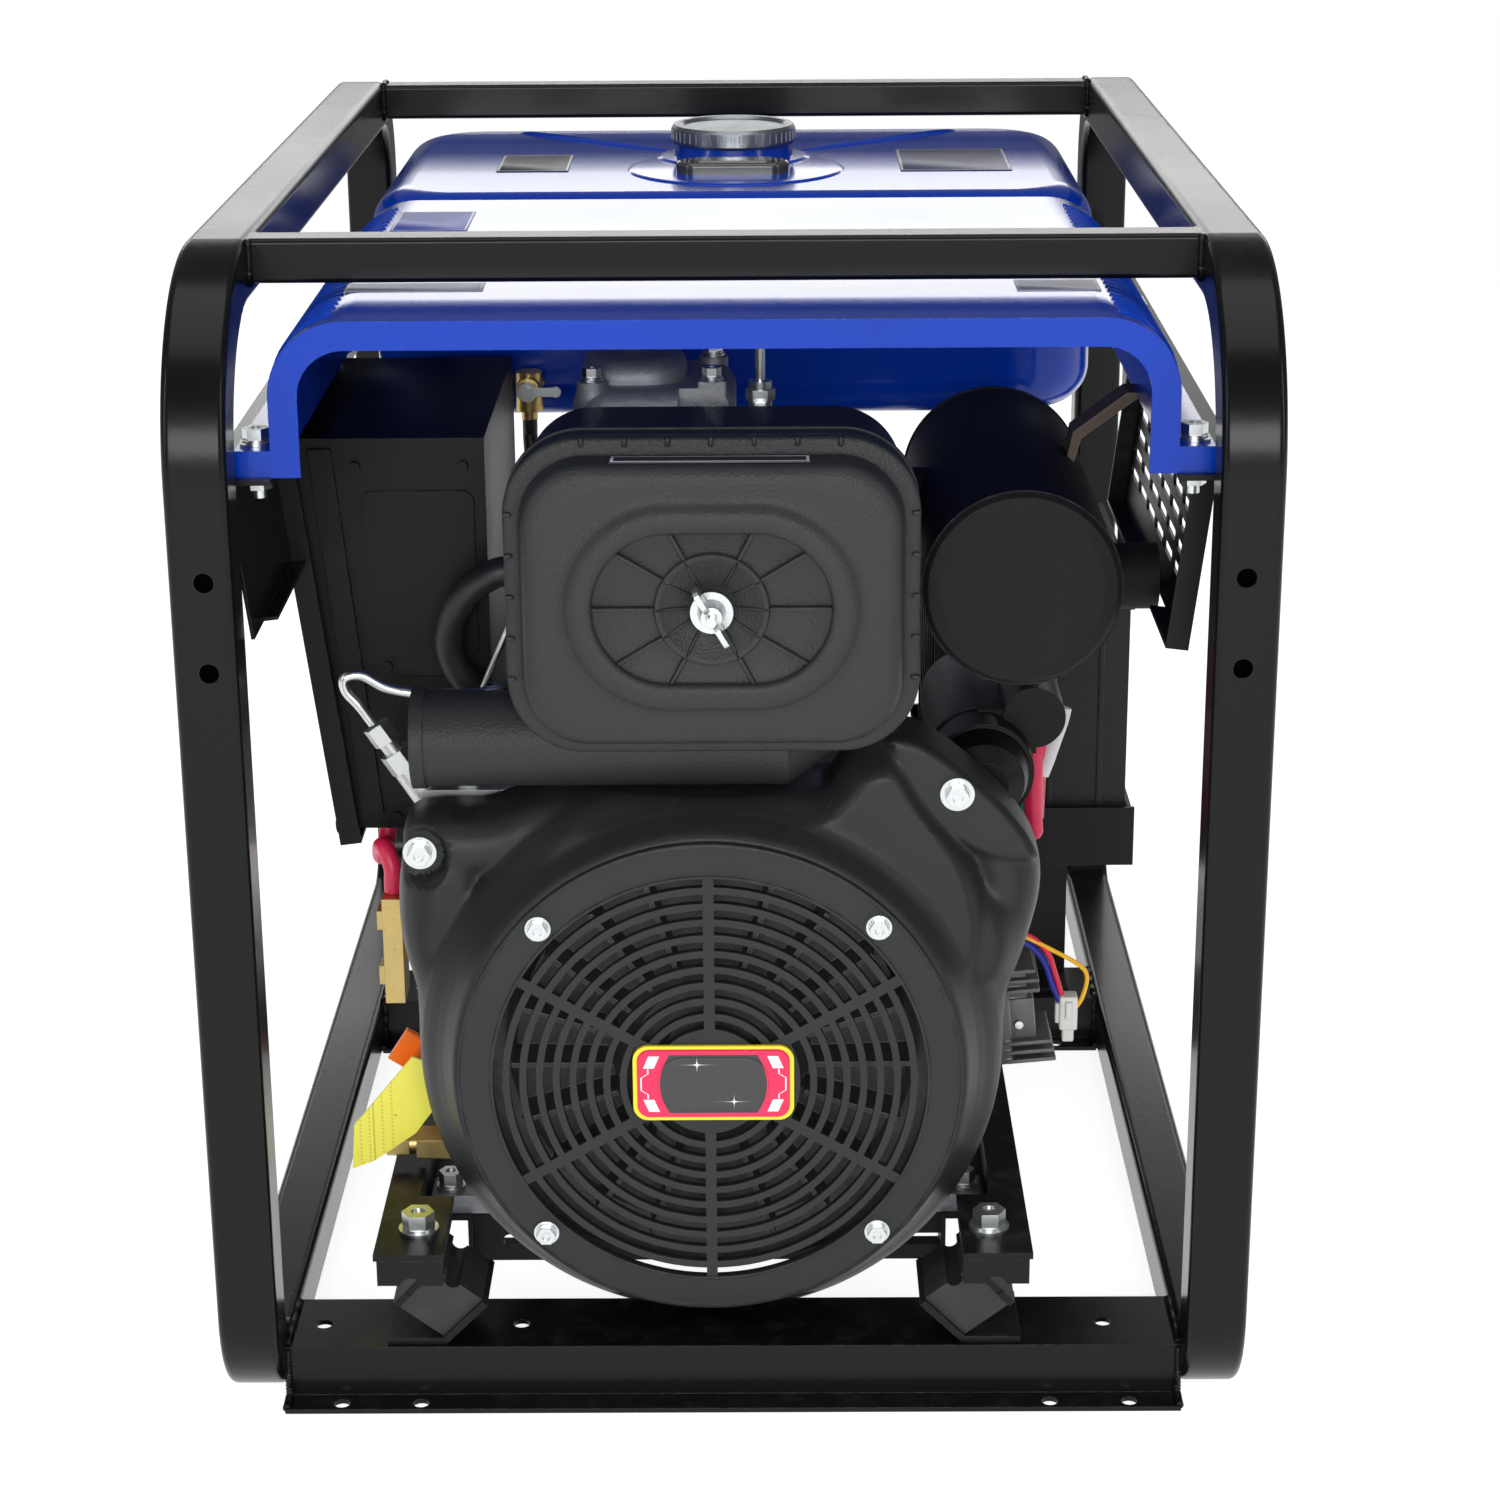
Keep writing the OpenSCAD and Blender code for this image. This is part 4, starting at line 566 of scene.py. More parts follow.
class GeneratorColours(bpy.types.PropertyGroup):
    """Colours of the finishes."""
    black: colour_prop("Frame black", "Enamel of the tube frame", (0.003, 0.0033, 0.0036))
    satin: colour_prop("Sheet black", "Satin enamel of the sheet parts", (0.0045, 0.0045, 0.005))
    blue: colour_prop("Blue", "Gloss enamel of cover and tank", (0.0003, 0.038, 0.40))
    shroud: colour_prop("Shroud black", "Moulded fan shroud and grille", (0.0165, 0.018, 0.0195))
    cleaner: colour_prop("Air cleaner black", "Grained air cleaner mouldings", (0.0235, 0.025, 0.0255))
    alloy: colour_prop("Cast alloy", "Engine castings", (0.30, 0.31, 0.33))
    plate: colour_prop("Plating", "Bolts, nuts and clips", (0.66, 0.68, 0.68))
    badge_yellow: colour_prop("Badge border", "Border of the bare badge", (0.90, 0.72, 0.01))
    badge_red: colour_prop("Badge field", "Field of the bare badge", (0.82, 0.003, 0.085))
    lead: colour_prop("Battery lead", "Sleeve of the battery leads", (0.60, 0.008, 0.06))
    tag: colour_prop("Tag", "Bare paper tag of the oil filler", (0.90, 0.86, 0.10))


class GeneratorSizes(bpy.types.PropertyGroup):
    """Sizes of the pieces that the frame does not fix."""
    bead: length_prop("Weld bead", "Half width of the frame's weld beads", 0.0022, 0.001, 0.004)
    wire: length_prop("Wire radius", "Radius of the thin wires", 0.0014, 0.0006, 0.003)
    flats: bpy.props.IntProperty(name="Tube flats", description="Flats round each tube", default=20,
                                 min=8, max=48)


def colours():
    return bpy.context.scene.generator_colours


def sizes():
    return bpy.context.scene.generator_sizes


FINISHES = {}


def looks():
    """Every finish's maker with what it is given, by the finish's name."""
    c = colours()
    by_maker = {
        enamel: {
            "frame_paint": {"colour": c.black, "gloss": 0.26, "coat": 0.15},
            "guard_paint": {"colour": c.satin, "gloss": 0.42, "coat": 0.15},
            "bracket_paint": {"colour": c.satin, "gloss": 0.44, "coat": 0.1, "dust": 0.2},
            "box_paint": {"colour": c.satin, "gloss": 0.46, "coat": 0.0},
            "starter_paint": {"colour": [0.7 * v for v in c.satin], "gloss": 0.46, "coat": 0.1},
            "heat_paint": {"colour": (0.009, 0.009, 0.0095), "gloss": 0.62, "coat": 0.0, "peel": 0.00004},
            "blue_paint": {"colour": c.blue, "gloss": 0.2, "coat": 0.4, "wear": (0.02, 0.12, 0.5),
                           "peel": 0.000008, "dust": 0.0, "edge": 0.0012}},
        moulding: {
            "shroud_plastic": {"colour": c.shroud, "gloss": 0.40},
            "cleaner_plastic": {"colour": c.cleaner, "gloss": 0.46, "grain": 620, "depth": 0.00022},
            "battery_case": {"colour": (0.006, 0.006, 0.0065), "gloss": 0.42},
            "red_plastic": {"colour": (0.5, 0.02, 0.015), "gloss": 0.3, "depth": 0.00003},
            "orange_plastic": {"colour": (0.85, 0.16, 0.008), "gloss": 0.35, "depth": 0.00004},
            "socket_blue": {"colour": (0.01, 0.06, 0.3), "gloss": 0.32, "depth": 0.00004},
            "nylon": {"colour": (0.62, 0.61, 0.58), "gloss": 0.36, "depth": 0.00003}},
        casting: {
            "cast_alloy": {"colour": c.alloy},
            "housing_alloy": {"colour": c.alloy, "gloss": 0.42},
            "fin_alloy": {"colour": (0.5, 0.51, 0.52), "gloss": 0.4, "pits": 0.0002},
            "regulator_alloy": {"colour": (0.13, 0.13, 0.125), "gloss": 0.42, "pits": 0.0002, "metal": 0.6},
            "cast_iron": {"colour": (0.10, 0.10, 0.105), "gloss": 0.55, "metal": 0.5},
            "heat_steel": {"colour": (0.16, 0.12, 0.09), "gloss": 0.6, "metal": 0.6}},
        zinc: {
            "zinc_steel": {"colour": c.plate},
            "rotor_steel": {"colour": (0.35, 0.26, 0.18), "gloss": 0.4},
            "pump_steel": {"colour": (0.55, 0.56, 0.54), "gloss": 0.34},
            "pipe_steel": {"colour": (0.62, 0.63, 0.63)},
            "chrome": {"colour": (0.30, 0.32, 0.34), "gloss": 0.26, "tint": (0.26, 0.28, 0.31)},
            "brass": {"colour": (0.66, 0.48, 0.20), "gloss": 0.3, "tint": (0.5, 0.33, 0.12)}},
        rubbery: {
            "rubber": {"colour": (0.014, 0.014, 0.015), "gloss": 0.6},
            "hose_rubber": {"colour": (0.012, 0.012, 0.013), "gloss": 0.42},
            "lead_red": {"colour": c.lead, "gloss": 0.38},
            "lead_yellow": {"colour": (0.85, 0.55, 0.01), "gloss": 0.38}},
        badge_print: {"badge": {"yellow": c.badge_yellow, "red": c.badge_red, "dark": (0.03, 0.028, 0.03)}},
        tag_print: {"tag_paper": {"paper": c.tag}},
        plated_fittings: {"fitting_brass": {}},
        meter_face: {"gauge_black": {}},
        leaf_paper: {"filter_paper": {}},
        bare_strip: {"bare_strip": {}},
    }
    return {name: (maker, given) for maker, group in by_maker.items() for name, given in group.items()}


def finish_of(name):
    """A finish by its slot's name, made once."""
    if name not in FINISHES:
        maker, given = looks()[name]
        FINISHES[name] = maker(name, **given)
    return FINISHES[name]


# ---------------------------------------------------------------- operators

class GeneratorStage(bpy.types.Operator):
    """Camera, pale floor and soft lights."""
    bl_idname = "generator.stage"
    bl_label = "Stage"

    def execute(self, context):
        pitch, yaw, roll = (math.radians(v) for v in (18.8426, -0.38669, -0.40077))
        ahead = np.array([math.sin(yaw) * math.cos(pitch), math.cos(yaw) * math.cos(pitch),
                          -math.sin(pitch)])
        right = np.array([math.cos(yaw), -math.sin(yaw), 0])
        up = np.cross(right, ahead)
        right, up = (right * math.cos(roll) + up * math.sin(roll),
                     up * math.cos(roll) - right * math.sin(roll))
        lens = bpy.data.cameras.new("camera")
        lens.sensor_width, lens.lens = 36, 77.84
        lens.clip_start, lens.clip_end = 0.05, 60
        context.scene.camera = self.stand(context, "camera", lens, right, up, -ahead,
                                          (0.02431, -2.10865, 0.99076))

        s, reach = Shader("floor_paper"), 9
        floor = s.finish(s.mix(s.noise(3, 2), (0.54, 0.54, 0.54), (0.56, 0.56, 0.56)), 0.8,
                         Emission_Color=(1, 1, 1), Emission_Strength=0.88)
        mesh = bpy.data.meshes.new("floor")
        mesh.from_pydata([(x, y, -0.001) for x, y in (
            (-reach, -reach), (reach, -reach), (reach, 3.2), (-reach, 3.2))], [], [(0, 1, 2, 3)])
        mesh.materials.append(floor)
        sheet = bpy.data.objects.new("floor", mesh)
        context.collection.objects.link(sheet)

        world = bpy.data.worlds.new("studio")
        context.scene.world = world
        world.use_nodes = True
        tree = world.node_tree
        ground = tree.nodes["Background"]
        ray = tree.nodes.new("ShaderNodeLightPath")
        level = tree.nodes.new("ShaderNodeMapRange")
        # White to the camera, dim to everything else
        level.inputs["To Min"].default_value, level.inputs["To Max"].default_value = 0.17, 1.0
        tree.links.new(ray.outputs["Is Camera Ray"], level.inputs["Value"])
        tree.links.new(level.outputs[0], ground.inputs["Strength"])
        ground.inputs["Color"].default_value = (1, 1, 1, 1)

        for name, spot, aim, wide, tall, power in (
                ("light_top", (0, -0.5, 2.6), (0, 0, 0.4), 2.2, 1.8, 20),
                ("light_back", (0, 3.1, 1.26), (0, 0, 1.26), 3.4, 0.34, 12.5),
                ("light_left", (-2.3, -1.5, 1.4), (0, 0, 0.35), 0.3, 1.7, 11),
                ("light_right", (2.3, -1.5, 1.4), (0, 0, 0.35), 0.3, 1.7, 11),
                ("light_front", (0, -4.6, 1.5), (0, 0, 0.3), 3.2, 1.1, 108)):
            light = bpy.data.lights.new(name, "AREA")
            light.shape, light.size, light.size_y, light.energy = "RECTANGLE", wide, tall, power
            back = np.array(spot, float) - aim
            back /= np.linalg.norm(back)
            side = np.cross((0, 0, 1), back)
            side /= np.linalg.norm(side)
            lamp = self.stand(context, name, light, side, np.cross(back, side), back, spot)
            lamp.visible_camera = False
        context.scene.view_settings.view_transform = "Standard"
        return {"FINISHED"}

    def stand(self, context, name, data, right, up, back, spot):
        """A camera or lamp at a spot, its own three axes given in the frame's."""
        thing = bpy.data.objects.new(name, data)
        place = np.eye(4)
        place[:3] = np.stack([right, up, back, spot], 1)
        thing.matrix_world = Matrix(place.tolist())
        context.collection.objects.link(thing)
        return thing


class GeneratorFinishes(bpy.types.Operator):
    """Gives every node of the frame the finish of its slot."""
    bl_idname = "generator.finishes"
    bl_label = "Finishes"

    def execute(self, context):
        for part in frame["record"]["subparts"]:
            node = frame["nodes"][part["node"]]
            finish = finish_of(part["material_slot"])
            if not node.material_slots:
                node.data.materials.append(finish)
            for place in node.material_slots:
                place.material = finish
        return {"FINISHED"}


SHROUD_EDGE = [
    (-192, 318), (-192, 340), (-172, 345), (-146, 343), (-124, 352), (-104, 358), (34, 357), (57, 357),
    (69, 378), (79, 393), (104, 395), (126, 382), (160, 353), (181, 323), (185, 296), (178, 264),
    (163, 222), (158, 190), (153, 150), (141, 110), (118, 74), (84, 44), (40, 26), (-12, 20), (-64, 26),
    (-112, 48), (-148, 80), (-172, 120), (-182, 160), (-184, 200), (-188, 230), (-197, 262), (-197, 300)]
SHROUD_FIELD = [(-150, 250), (-116, 324), (-100, 342), (-84, 349), (52, 349), (66, 364), (78, 380),
                (100, 382), (118, 352), (146, 310), (150, 250), (100, 190), (-110, 190)]
SHROUD_EAR = [(90, 398), (124, 386), (166, 356), (190, 322), (176, 318), (140, 326), (112, 352), (98, 380)]
RING_FLARE = [(131, 78), (147, 78), (149.5, 77.4), (151.5, 75), (154, 69), (158, 60), (163, 53), (168, 47.5),
              (172, 42), (175, 34), (178, 25), (180, 18), (184, 4)]


class GeneratorShroud(bpy.types.Operator):
    """Moulded fan shroud: a dished ring, a raised field, a side bulge and two ears in one skin."""
    bl_idname = "generator.shroud"
    bl_label = "Fan shroud"

    def height(self, x, z, r, outline):
        """Rise over the crankcase joint in mm: the greatest, softly, of shoulder, field, bulge, rib and
        ring, then levelled at the bolt ear, the bolt boss and the foot, and rounded at the lip."""
        d = inside_distance(x, z, outline)
        shoulder = 18 + 24 * np.sqrt(1 - (1 - np.clip(d / 22, 0, 1)) ** 2) - 9 * smooth_step(24, 46, d)
        field = 18 + 38 * smooth_step(-16, 9, inside_distance(x, z, corner_cut(SHROUD_FIELD)))
        bulge = 52 * np.exp(-(((x - 143) / 34) ** 2 + ((z - 266) / 46) ** 2) ** 2)
        rib = 43 * np.exp(-(((x + 164) / 26) ** 2 + ((z - 292) / 40) ** 2) ** 2)
        radii, rises = np.array(RING_FLARE).T
        rise = soft_most(3.0, shoulder, field, bulge, rib, np.interp(r, radii, rises, right=0))
        rise = np.where(r < 147.5, rises[0], rise)
        ear = smooth_step(-6, 2, inside_distance(x, z, corner_cut(SHROUD_EAR)))
        rise += (46.7 - rise) * ear
        boss = smooth_step(19, 14, np.hypot(x + 182, z - 320))
        rise += (29.7 - rise) * boss
        foot = smooth_step(41, 37.5, z)
        rise += (np.minimum(rise, 45.4) - rise) * foot
        lip = 6
        return rise - lip * (1 - np.sqrt(1 - np.clip(1 - d / lip, 0, 1) ** 2))

    def execute(self, context):
        joint, thick, ring_reach, cleaner_floor, columns = 134, 4, 156, 359.4, 480
        edge = corner_cut(SHROUD_EDGE)
        centre = CRANK * 1000
        fine = (edge[:, None] + (np.roll(edge, -1, 0) - edge)[:, None]
                * np.linspace(0, 1, 8, endpoint=False)[None, :, None]).reshape(-1, 2) - centre
        turn, reach = np.arctan2(fine[:, 1], fine[:, 0]), np.hypot(*fine.T)
        order = np.argsort(turn)
        angles = np.linspace(-np.pi, np.pi, columns, endpoint=False)
        outer = np.interp(angles, turn[order], reach[order], period=2 * np.pi)
        outer = soft_most(2.0, outer, np.full(columns, 174.0))
        under = (angles > math.radians(66.8)) & (angles < math.radians(118))
        ceiling = (cleaner_floor - centre[1]) / np.where(under, np.sin(angles), 1)
        outer = np.where(under, np.minimum(outer, ceiling), outer)
        rays = np.stack([np.cos(angles), np.sin(angles)], 1)
        share = np.concatenate([np.linspace(0, 1, 34) ** 0.9 * 0.86 + 0.02,
                                1 - 0.12 * (1 - np.linspace(0, 1, 12)) ** 1.6])
        inner = np.concatenate([[131.0, 145.5], np.linspace(147.4, ring_reach, 9)])
        radii = np.vstack([np.repeat(inner[:, None], columns, 1),
                           ring_reach + (outer - ring_reach) * share[:, None]])
        x, z = (centre[i] + radii * rays[:, i] for i in range(2))
        rise = self.height(x, z, radii, centre + outer[:, None] * rays)
        skin = np.stack([x, joint - rise, z], -1)
        rim = skin[-1:].copy()
        wall = np.concatenate([rim * [1, 0, 1] + [0, y, 0] for y in (joint - 12, joint - 6, joint)])
        wall[:, :, 1] = np.maximum(wall[:, :, 1], rim[0, :, 1])
        skin = np.concatenate([skin, wall])
        normal = grid_normals(skin)
        back = skin - thick * normal * np.sign(-normal[5, 0, 1])
        back[0] = skin[0] + [0, 5, 0]
        back[:, :, 1] = np.minimum(back[:, :, 1], joint)
        grid = np.concatenate([skin, back[::-1]])
        shape = grid.reshape(-1, 3), grid_faces(len(grid), columns, True, True).tolist()
        make_piece("shroud_skin", placed(shape), "shroud_plastic", stands_for=["fan_shroud"])
        return {"FINISHED"}


class GeneratorCleaner(bpy.types.Operator):
    """Moulded air cleaner cover: soft body, oval ring, ribbed dish and a bowl for the wing nut."""
    bl_idname = "generator.cleaner"
    bl_label = "Air cleaner cover"

    def execute(self, context):
        centre, columns = (-8, 483.4), 288
        bowl = [(5.2, 57), (5.4, 54.4), (12, 54), (14, 53.4), (26.5, 49.4), (28.6, 48.2), (30, 47.7),
                (31.4, 47.8), (32, 48.4), (32.3, 51), (33, 51.6)]
        dish = [(66, 51.6), (66.8, 51), (67.3, 47.4), (68, 46.4), (69.4, 45.7), (72, 45.4), (76, 45.5),
                (79, 46.2), (81, 47.4), (82.4, 48.9)]
        body = [(84, 60.4, 60, 50.0), (87, 63, 56, 50.4), (92, 67.5, 46, 50.4), (98, 73.5, 38, 50.6),
                (101.5, 76.6, 36, 51.5), (104, 79, 36, 53.2), (105.6, 80.4, 36, 55.6),
                (106.4, 81.2, 36.5, 59), (107.2, 81.8, 37, 70), (108, 82.6, 38, 72.4),
                (109.6, 84.4, 39, 73.4), (113, 88, 41, 73.7), (115.4, 90.4, 43, 73.9),
                (116.5, 91.4, 44, 74.6), (117, 92, 44, 76), (117, 92, 44, 80), (116, 91, 43, 80.6),
                (116, 91, 43, 84)]
        rows = [(r, r, r, y) for r, y in bowl] + [(a, a - 23.6, a - 23.6, y) for a, y in dish] + body
        back = [(112, 87, 41, 84), (103, 77, 34, 82), (102, 76, 33, 60), (6.5, 6.5, 6.5, 59)]
        grid = nested(rows + back, columns, centre)
        shapes = [(grid.reshape(-1, 3), grid_faces(len(grid), columns, True, True).tolist())]
        for degrees in (0, 31, 62, 118, 149, 180, 211, 242, 298, 329):
            angle = math.radians(degrees)
            reach = float(ray_reach(np.array([angle]), 67, 43.4, 43.4)[0])
            shapes.append(turned_box((31.4, 48.6, -1.1), (reach + 0.4, 52.6, 1.1), 0.7, angle, centre))
            points, faces = turned_box((13, 0, -0.7), (31, 3, 0.7), 0.5, angle, centre)
            far = np.hypot(points[:, 0] - centre[0], points[:, 2] - centre[1])
            points[:, 1] += np.interp(far, [13, 27, 31], [52.6, 48.4, 47.4])
            shapes.append((points, faces))
        pitch = 24
        for x in (-8 + pitch * k for k in range(-3, 4)):
            shapes.append(rounded_box((x - 1.2, 72.2, 570.4), (x + 1.2, 76, 575.6), 0.8, 2))
        for z in (484 + pitch * k for k in range(-2, 3)):
            for x in (-124.8, 104.0):
                shapes.append(rounded_box((x, 72.2, z - 1.2), (x + 4.8, 76, z + 1.2), 0.8, 2))
        make_piece("cleaner_lid", placed(joined(*shapes)), "cleaner_plastic",
                   stands_for=["air_cleaner_cover"])
        strip = rounded_box((-64, 56.5, 565.0), (47, 70.5, 565.9), 0.3, 2)
        make_piece("cleaner_strip", placed(strip), "cleaner_plastic", finish_of("bare_strip"))
        return {"FINISHED"}


class GeneratorTag(bpy.types.Operator):
    """Bare paper tag on the oil filler, slightly curled."""
    bl_idname = "generator.tag"
    bl_label = "Tag"

    def execute(self, context):
        outline = np.array([(-175.4, 164.8), (-196.2, 172.8), (-227.6, 134.4), (-233.6, 127.5),
                            (-235.9, 98.1), (-222, 103.4), (-196, 121.4), (-175.4, 149.6)])
        middle = outline.mean(0)
        rings = [(1.0, 141.1), (1.0, 139.1), (0.92, 138.9), (0.5, 138.9), (0.02, 138.9)]
        grid = np.array([[(*(middle + k * (p - middle)), y) for p in outline] for k, y in rings])
        curl = 1.2 * smooth_step(-200, -228, grid[..., 0])
        points = np.stack([grid[..., 0], grid[..., 2] - curl * (grid[..., 2] < 141), grid[..., 1]], -1)
        count = len(outline)
        faces = grid_faces(len(rings), count, round_columns=True).tolist() + [list(range(count))]
        make_piece("oil_tag", placed((points.reshape(-1, 3), faces)), "fitting_brass",
                   finish_of("tag_paper"))
        return {"FINISHED"}


class GeneratorTank(bpy.types.Operator):
    """Pressed forms of the tank's top, and the bare plates of tank and cover."""
    bl_idname = "generator.tank"
    bl_label = "Tank pressings and plates"

    def execute(self, context):
        disc = revolved([(0.02, 0.0012), (0.0715, 0.0012), (0.0735, 0.0010), (0.0748, 0.0004),
                         (0.0755, -0.0008)], at(2, 585, 645), (0, 0, 1), 96)
        make_piece("tank_platform", disc, "blue_paint")
        ridges = []
        for side in (-1, 1):
            line = eased(route([(2 + side * x, y, z) for x, y, z in (
                (166, 776, 628), (158, 766, 633.5), (126, 738, 634), (88, 706, 633.6), (52, 676, 632),
                (40, 666, 628))]), 6)
            ridges.append(swept(line, np.interp(np.linspace(0, 1, len(line)), [0, 0.2, 1],
                                                [0.010, 0.0125, 0.0148]), 48))
        make_piece("tank_ridges", joined(*ridges), "blue_paint")
        tank, cover = (644.9, 645.7), (647.6, 648.5)
        for place, face, across, deep, field, border in (
                ("tank_left", tank, (-164, -114), (577, 650), (0.015, 0.015, 0.03), (0.7, 0.7, 0.7)),
                ("tank_right", tank, (116, 193), (571, 668), (0.05, 0.055, 0.13), (0.6, 0.62, 0.66)),
                ("cover_left", cover, (-214, -136), (124, 148), (0.34, 0.37, 0.55), (0.6, 0.62, 0.7)),
                ("cover_right", cover, (163, 210), (116, 148), (0.30, 0.33, 0.50), (0.6, 0.62, 0.7)),
                ("cover_rear", cover, (-210, -162), (322, 392), (0.03, 0.06, 0.42), (0.7, 0.72, 0.8))):
            name, (low, high) = "plate_" + place, zip(across, deep, face)
            make_piece(name, placed(rounded_box(low, high, 0.35, 2)), "blue_paint",
                       bare_plate(name, low, high, field, border))
        return {"FINISHED"}


class GeneratorWelds(bpy.types.Operator):
    """Weld beads where bars and floor beams meet the side loops."""
    bl_idname = "generator.welds"
    bl_label = "Weld beads"

    def execute(self, context):
        loop_face, half_bar = 264.4, 12.5
        turn = np.linspace(0, 2 * np.pi, 65)
        reach = ray_reach(turn, half_bar, half_bar, 3)
        seams = []
        for x in (-loop_face, loop_face):
            for y, z in ((124.5, 667.5), (798.5, 665.5)):
                seams.append(np.stack([x + 0 * turn, y + reach * np.cos(turn), z + reach * np.sin(turn)], 1))
            for y in (11, 530):
                seams += [np.linspace((x, y + 17, 2), (x, y + 17, 33), 30),
                          np.linspace((x, y + 19, 35), (x, y + 74, 35), 50),
                          np.linspace((x, y + 1, 3), (x, y + 17, 3), 20)]
        shapes = []
        for seam in seams:
            line = route(seam)
            length = np.concatenate([[0], np.cumsum(np.linalg.norm(np.diff(line, axis=0), axis=1))])
            shapes.append(swept(line, sizes().bead * (1 + 0.14 * np.sin(length * 2600)), 10))
        points, faces = joined(*shapes)
        points[:, 2] = np.minimum(points[:, 2], CAD_BOX[1][2] - 0.0001)
        make_piece("weld_beads", (points, faces), "frame_paint")
        return {"FINISHED"}


class GeneratorRegulator(bpy.types.Operator):
    """Finned charging regulator on its bent bracket."""
    bl_idname = "generator.regulator"
    bl_label = "Regulator"

    def execute(self, context):
        parts = [rounded_box((164, 176, 150), (172, 222, 214), 1.2, 2),
                 rounded_box((170, 178, 166), (188, 200, 193), 1.4, 2),
                 rounded_box((108, 186, 151), (166, 190, 200), 0.8, 2)]
        for z, reach in ((211, 190), (204.5, 192), (198, 192), (163, 197), (157, 198), (151, 199)):
            parts.append(rounded_box((168, 174, z), (reach, 220, z + 2.6), 0.9, 2))
        parts.append(rounded_box((166, 180, 193), (184, 183, 212), 0.8, 2))
        screw = revolved([(0, 0.0022), (0.0026, 0.0020), (0.0034, 0.0008), (0.0034, -0.002)],
                         at(178, 178, 176), (0, -1, 0), 20)
        points, faces = placed(joined(*parts))
        tilt, hub = math.radians(5), at(180, 190, 180)
        x, y, z = (points - hub).T
        c, s = math.cos(tilt), math.sin(tilt)
        turned = hub + np.stack([c * x - s * z, y, s * x + c * z], 1)
        make_piece("regulator_fins", (turned, faces), "fin_alloy", finish_of("regulator_alloy"),
                   stands_for=["regulator"])
        make_piece("regulator_screw", screw, "zinc_steel")
        return {"FINISHED"}


class GeneratorPipes(bpy.types.Operator):
    """Fuel hose, breather, injection pipe and battery leads as smooth tubes."""
    bl_idname = "generator.pipes"
    bl_label = "Hoses and leads"

    def execute(self, context):
        tubes = {
            "fuel_hose": ("hose_rubber", 5, "hoses", [
                (-136, 450, 499.7), (-136, 450, 494), (-136, 450, 486), (-134, 440, 462), (-128, 400, 416),
                (-128, 330, 370), (-130, 230, 340), (-136, 204, 326), (-150, 191, 321), (-168, 186, 320),
                (-172, 180, 320), (-172, 176, 320), (-172, 172.3, 320)]),
            "breather_hose": ("hose_rubber", 9, "hoses", [
                (-118.3, 174, 470), (-126, 174, 470), (-138, 174, 470), (-157, 177, 456), (-168, 181, 430),
                (-162, 184, 404), (-140, 188, 384), (-112, 192, 370), (-92, 194, 356), (-88, 194, 344),
                (-88, 194, 334.3)]),
            "injector_pipe": ("pipe_steel", 3.2, "injection_pipe", [
                (-212, 151, 384), (-219, 150, 395), (-227, 150, 405), (-227, 150, 413), (-217, 151, 414),
                (-202, 151, 406), (-180, 150, 403), (-142, 150, 404), (-129, 160, 408), (-127, 178, 416),
                (-127, 194, 434), (-118, 203, 460), (-98, 205, 498), (-62, 205, 524), (-2, 204, 548),
                (12, 206, 556), (19, 214, 556), (19, 221.7, 556)]),
            "starter_lead": ("lead_red", 5, "battery_leads", [
                (158, 470, 402.3), (158, 470, 407), (160, 462, 414), (176, 440, 412), (201, 400, 380),
                (203, 350, 322), (197, 300, 292), (193, 262, 284), (191, 245, 300), (191.5, 240, 330),
                (192, 240, 344), (192, 240, 354.6)]),
            "ground_lead": ("hose_rubber", 5, "battery_leads", [
                (232, 470, 402.3), (232, 470, 407), (233, 460, 414), (236, 440, 410), (230, 408, 380),
                (200, 372, 320), (160, 356, 270), (132, 340, 252), (118, 322, 250), (110, 320, 250),
                (103.3, 320, 250)]),
            "solenoid_lead": ("lead_red", 5.5, "battery_leads", [
                (-214, 214, 299.7), (-214, 214, 294), (-215, 208, 286), (-216, 194, 284), (-214, 178, 296),
                (-210, 168, 298), (-206, 163, 288), (-206, 163, 279), (-206, 163, 272.3)]),
        }
        for name, (slot, radius, node, points) in tubes.items():
            make_piece(name, tube(points, [radius], sizes().flats), slot, stands_for=[node])
        return {"FINISHED"}


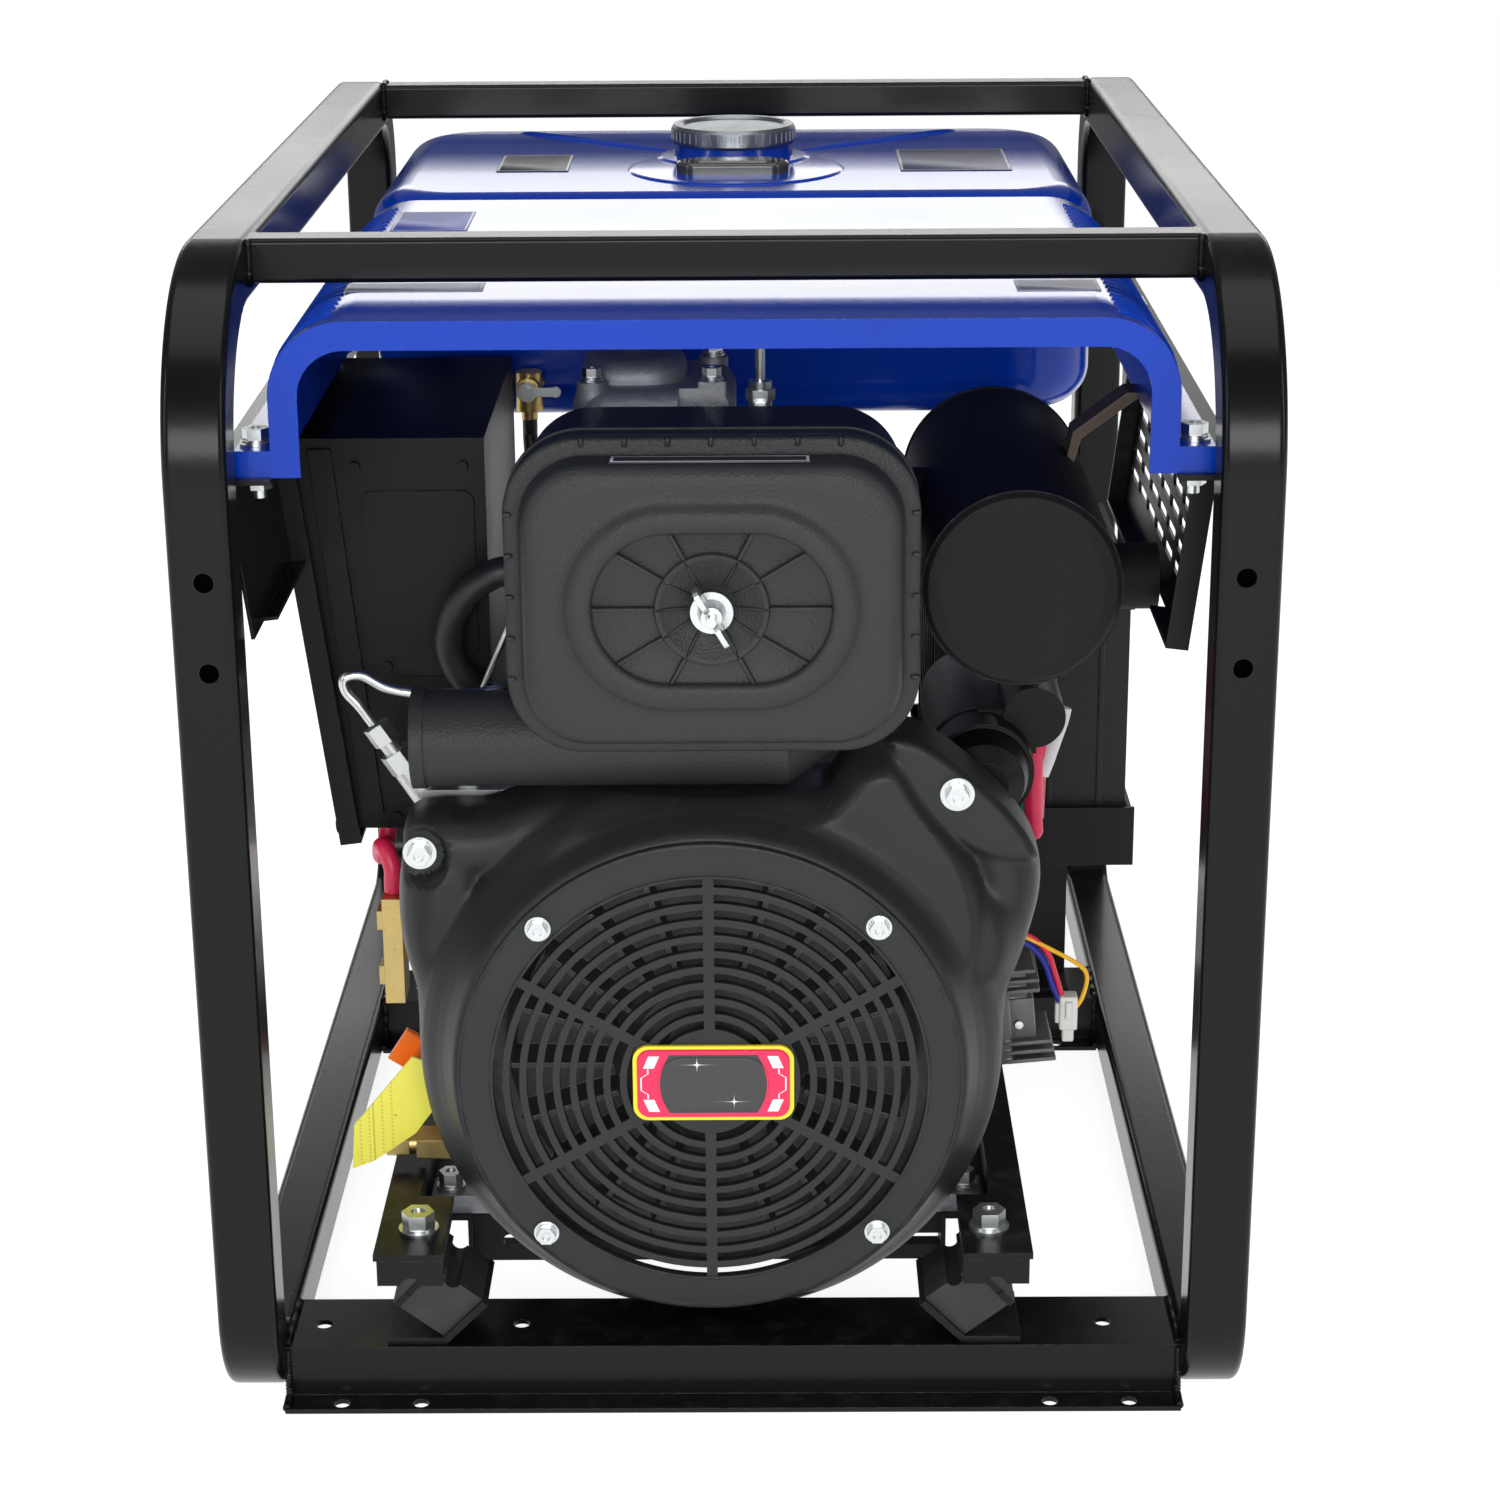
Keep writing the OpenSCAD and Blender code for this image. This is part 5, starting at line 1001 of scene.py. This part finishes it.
class GeneratorWires(bpy.types.Operator):
    """Thin wires of the charging plug, the stop solenoid and the starter."""
    bl_idname = "generator.wires"
    bl_label = "Wires"

    def execute(self, context):
        thin, plug_end, loose = sizes().wire * 1000, ["signal_leads"], []
        runs = {
            "plug_yellow": ((0.80, 0.42, 0.004), [thin], plug_end, [
                (166, 146, 250), (178, 147, 247), (196, 149, 237), (212, 150, 227), (216.5, 150, 219),
                (214, 150, 206), (210, 150, 199), (207, 150, 194)]),
            "plug_red": ((0.62, 0.010, 0.04), [thin * 1.2], plug_end, [
                (166, 147, 252), (181, 148, 247), (192, 149, 236), (197, 150, 222), (202, 150, 205),
                (204, 150, 194)]),
            "plug_blue": ((0.012, 0.02, 0.28), [thin * 1.6], plug_end, [
                (166, 150, 246), (180, 151, 241), (190, 152, 230), (196, 152, 214), (201, 151, 202),
                (203, 151, 194)]),
            "sense_yellow": ((0.80, 0.42, 0.004), [1.7, 1.7, 2.6, 3.0, 2.6, 1.9, 1.7], loose, [
                (200, 252, 402), (197, 244, 392), (193, 238, 380), (190.6, 236, 373), (188.6, 235, 365),
                (188, 235, 359), (188.4, 236, 352)]),
            "sense_sleeve": ((0.012, 0.012, 0.013), [2.4, 3.4, 3.6, 3.6, 3.0], loose, [
                (187.6, 234.6, 363), (187.8, 234.6, 358), (188.6, 234.6, 350), (189.6, 234.6, 343),
                (190, 235, 338)]),
            "lead_boot": ((0.60, 0.008, 0.07), [3.6, 5.6, 6.4, 6.2, 5.6, 5.0, 2.4], loose, [
                (188.6, 234, 344), (188.2, 233.6, 336), (187.8, 233.2, 322), (188, 233, 306),
                (189, 233, 292), (190.2, 233.4, 283), (190.6, 234, 279)]),
            "sense_green": ((0.004, 0.30, 0.20), [1.8], loose, [
                (170, 240, 322), (177.6, 236, 311), (182.6, 235, 301), (184.4, 235, 288), (183, 238, 276)]),
            "sense_tube": ((0.58, 0.58, 0.60), [5.2, 5.6, 5.6, 5.6, 5.2], loose, [
                (207, 244, 362), (204.6, 243, 353), (200.6, 242, 341), (196.4, 241, 328),
                (193.6, 240.6, 319)]),
        }
        for name, (colour, radii, nodes, points) in runs.items():
            make_piece(name, tube(points, radii, 10 if nodes else 14), "lead_yellow",
                       self.sleeve(name, colour), nodes)
        plug = joined(
            rounded_box(at(200, 145, 186), at(211, 156, 208), 0.0012),
            rounded_box(at(202, 146, 178), at(209, 154, 188), 0.0010),
            rounded_box(at(197.5, 147, 190), at(201, 153, 203), 0.0008),
            rounded_box(at(203.5, 143.5, 194), at(207.5, 146, 205), 0.0006))
        make_piece("plug_body", plug, "lead_yellow", finish_of("nylon"))
        return {"FINISHED"}

    def sleeve(self, name, colour):
        """Smooth soft sleeve of one colour, in faint clouds."""
        s = Shader(name)
        cloud = s.noise(120, 3)
        tone = s.clouded(cloud, colour, 0.8, 1.15)
        return s.finish(tone, 0.34 + cloud * 0.1, s.noise(900, 2), 0.00003)


CLASSES = [GeneratorColours, GeneratorSizes, GeneratorStage, GeneratorFinishes, GeneratorShroud,
           GeneratorCleaner, GeneratorTag, GeneratorTank, GeneratorWelds, GeneratorRegulator, GeneratorPipes,
           GeneratorWires]
STEPS = [cls for cls in CLASSES if issubclass(cls, bpy.types.Operator)]


class GeneratorPanel(bpy.types.Panel):
    """Lists the steps that dress the frame."""
    bl_idname = "VIEW3D_PT_generator"
    bl_label = "Generator"
    bl_space_type = "VIEW_3D"
    bl_region_type = "UI"
    bl_category = "Generator"

    def draw(self, context):
        for step in STEPS:
            self.layout.operator(step.bl_idname, text=step.bl_label)


def register():
    for cls in [*CLASSES, GeneratorPanel]:
        bpy.utils.register_class(cls)
    bpy.types.Scene.generator_colours = bpy.props.PointerProperty(type=GeneratorColours)
    bpy.types.Scene.generator_sizes = bpy.props.PointerProperty(type=GeneratorSizes)


def unregister():
    del bpy.types.Scene.generator_colours, bpy.types.Scene.generator_sizes
    for cls in [GeneratorPanel, *reversed(CLASSES)]:
        bpy.utils.unregister_class(cls)


def main():
    register()
    for step in STEPS:
        group, name = step.bl_idname.split(".")
        getattr(getattr(bpy.ops, group), name)()


if __name__ == "__main__":
    main()
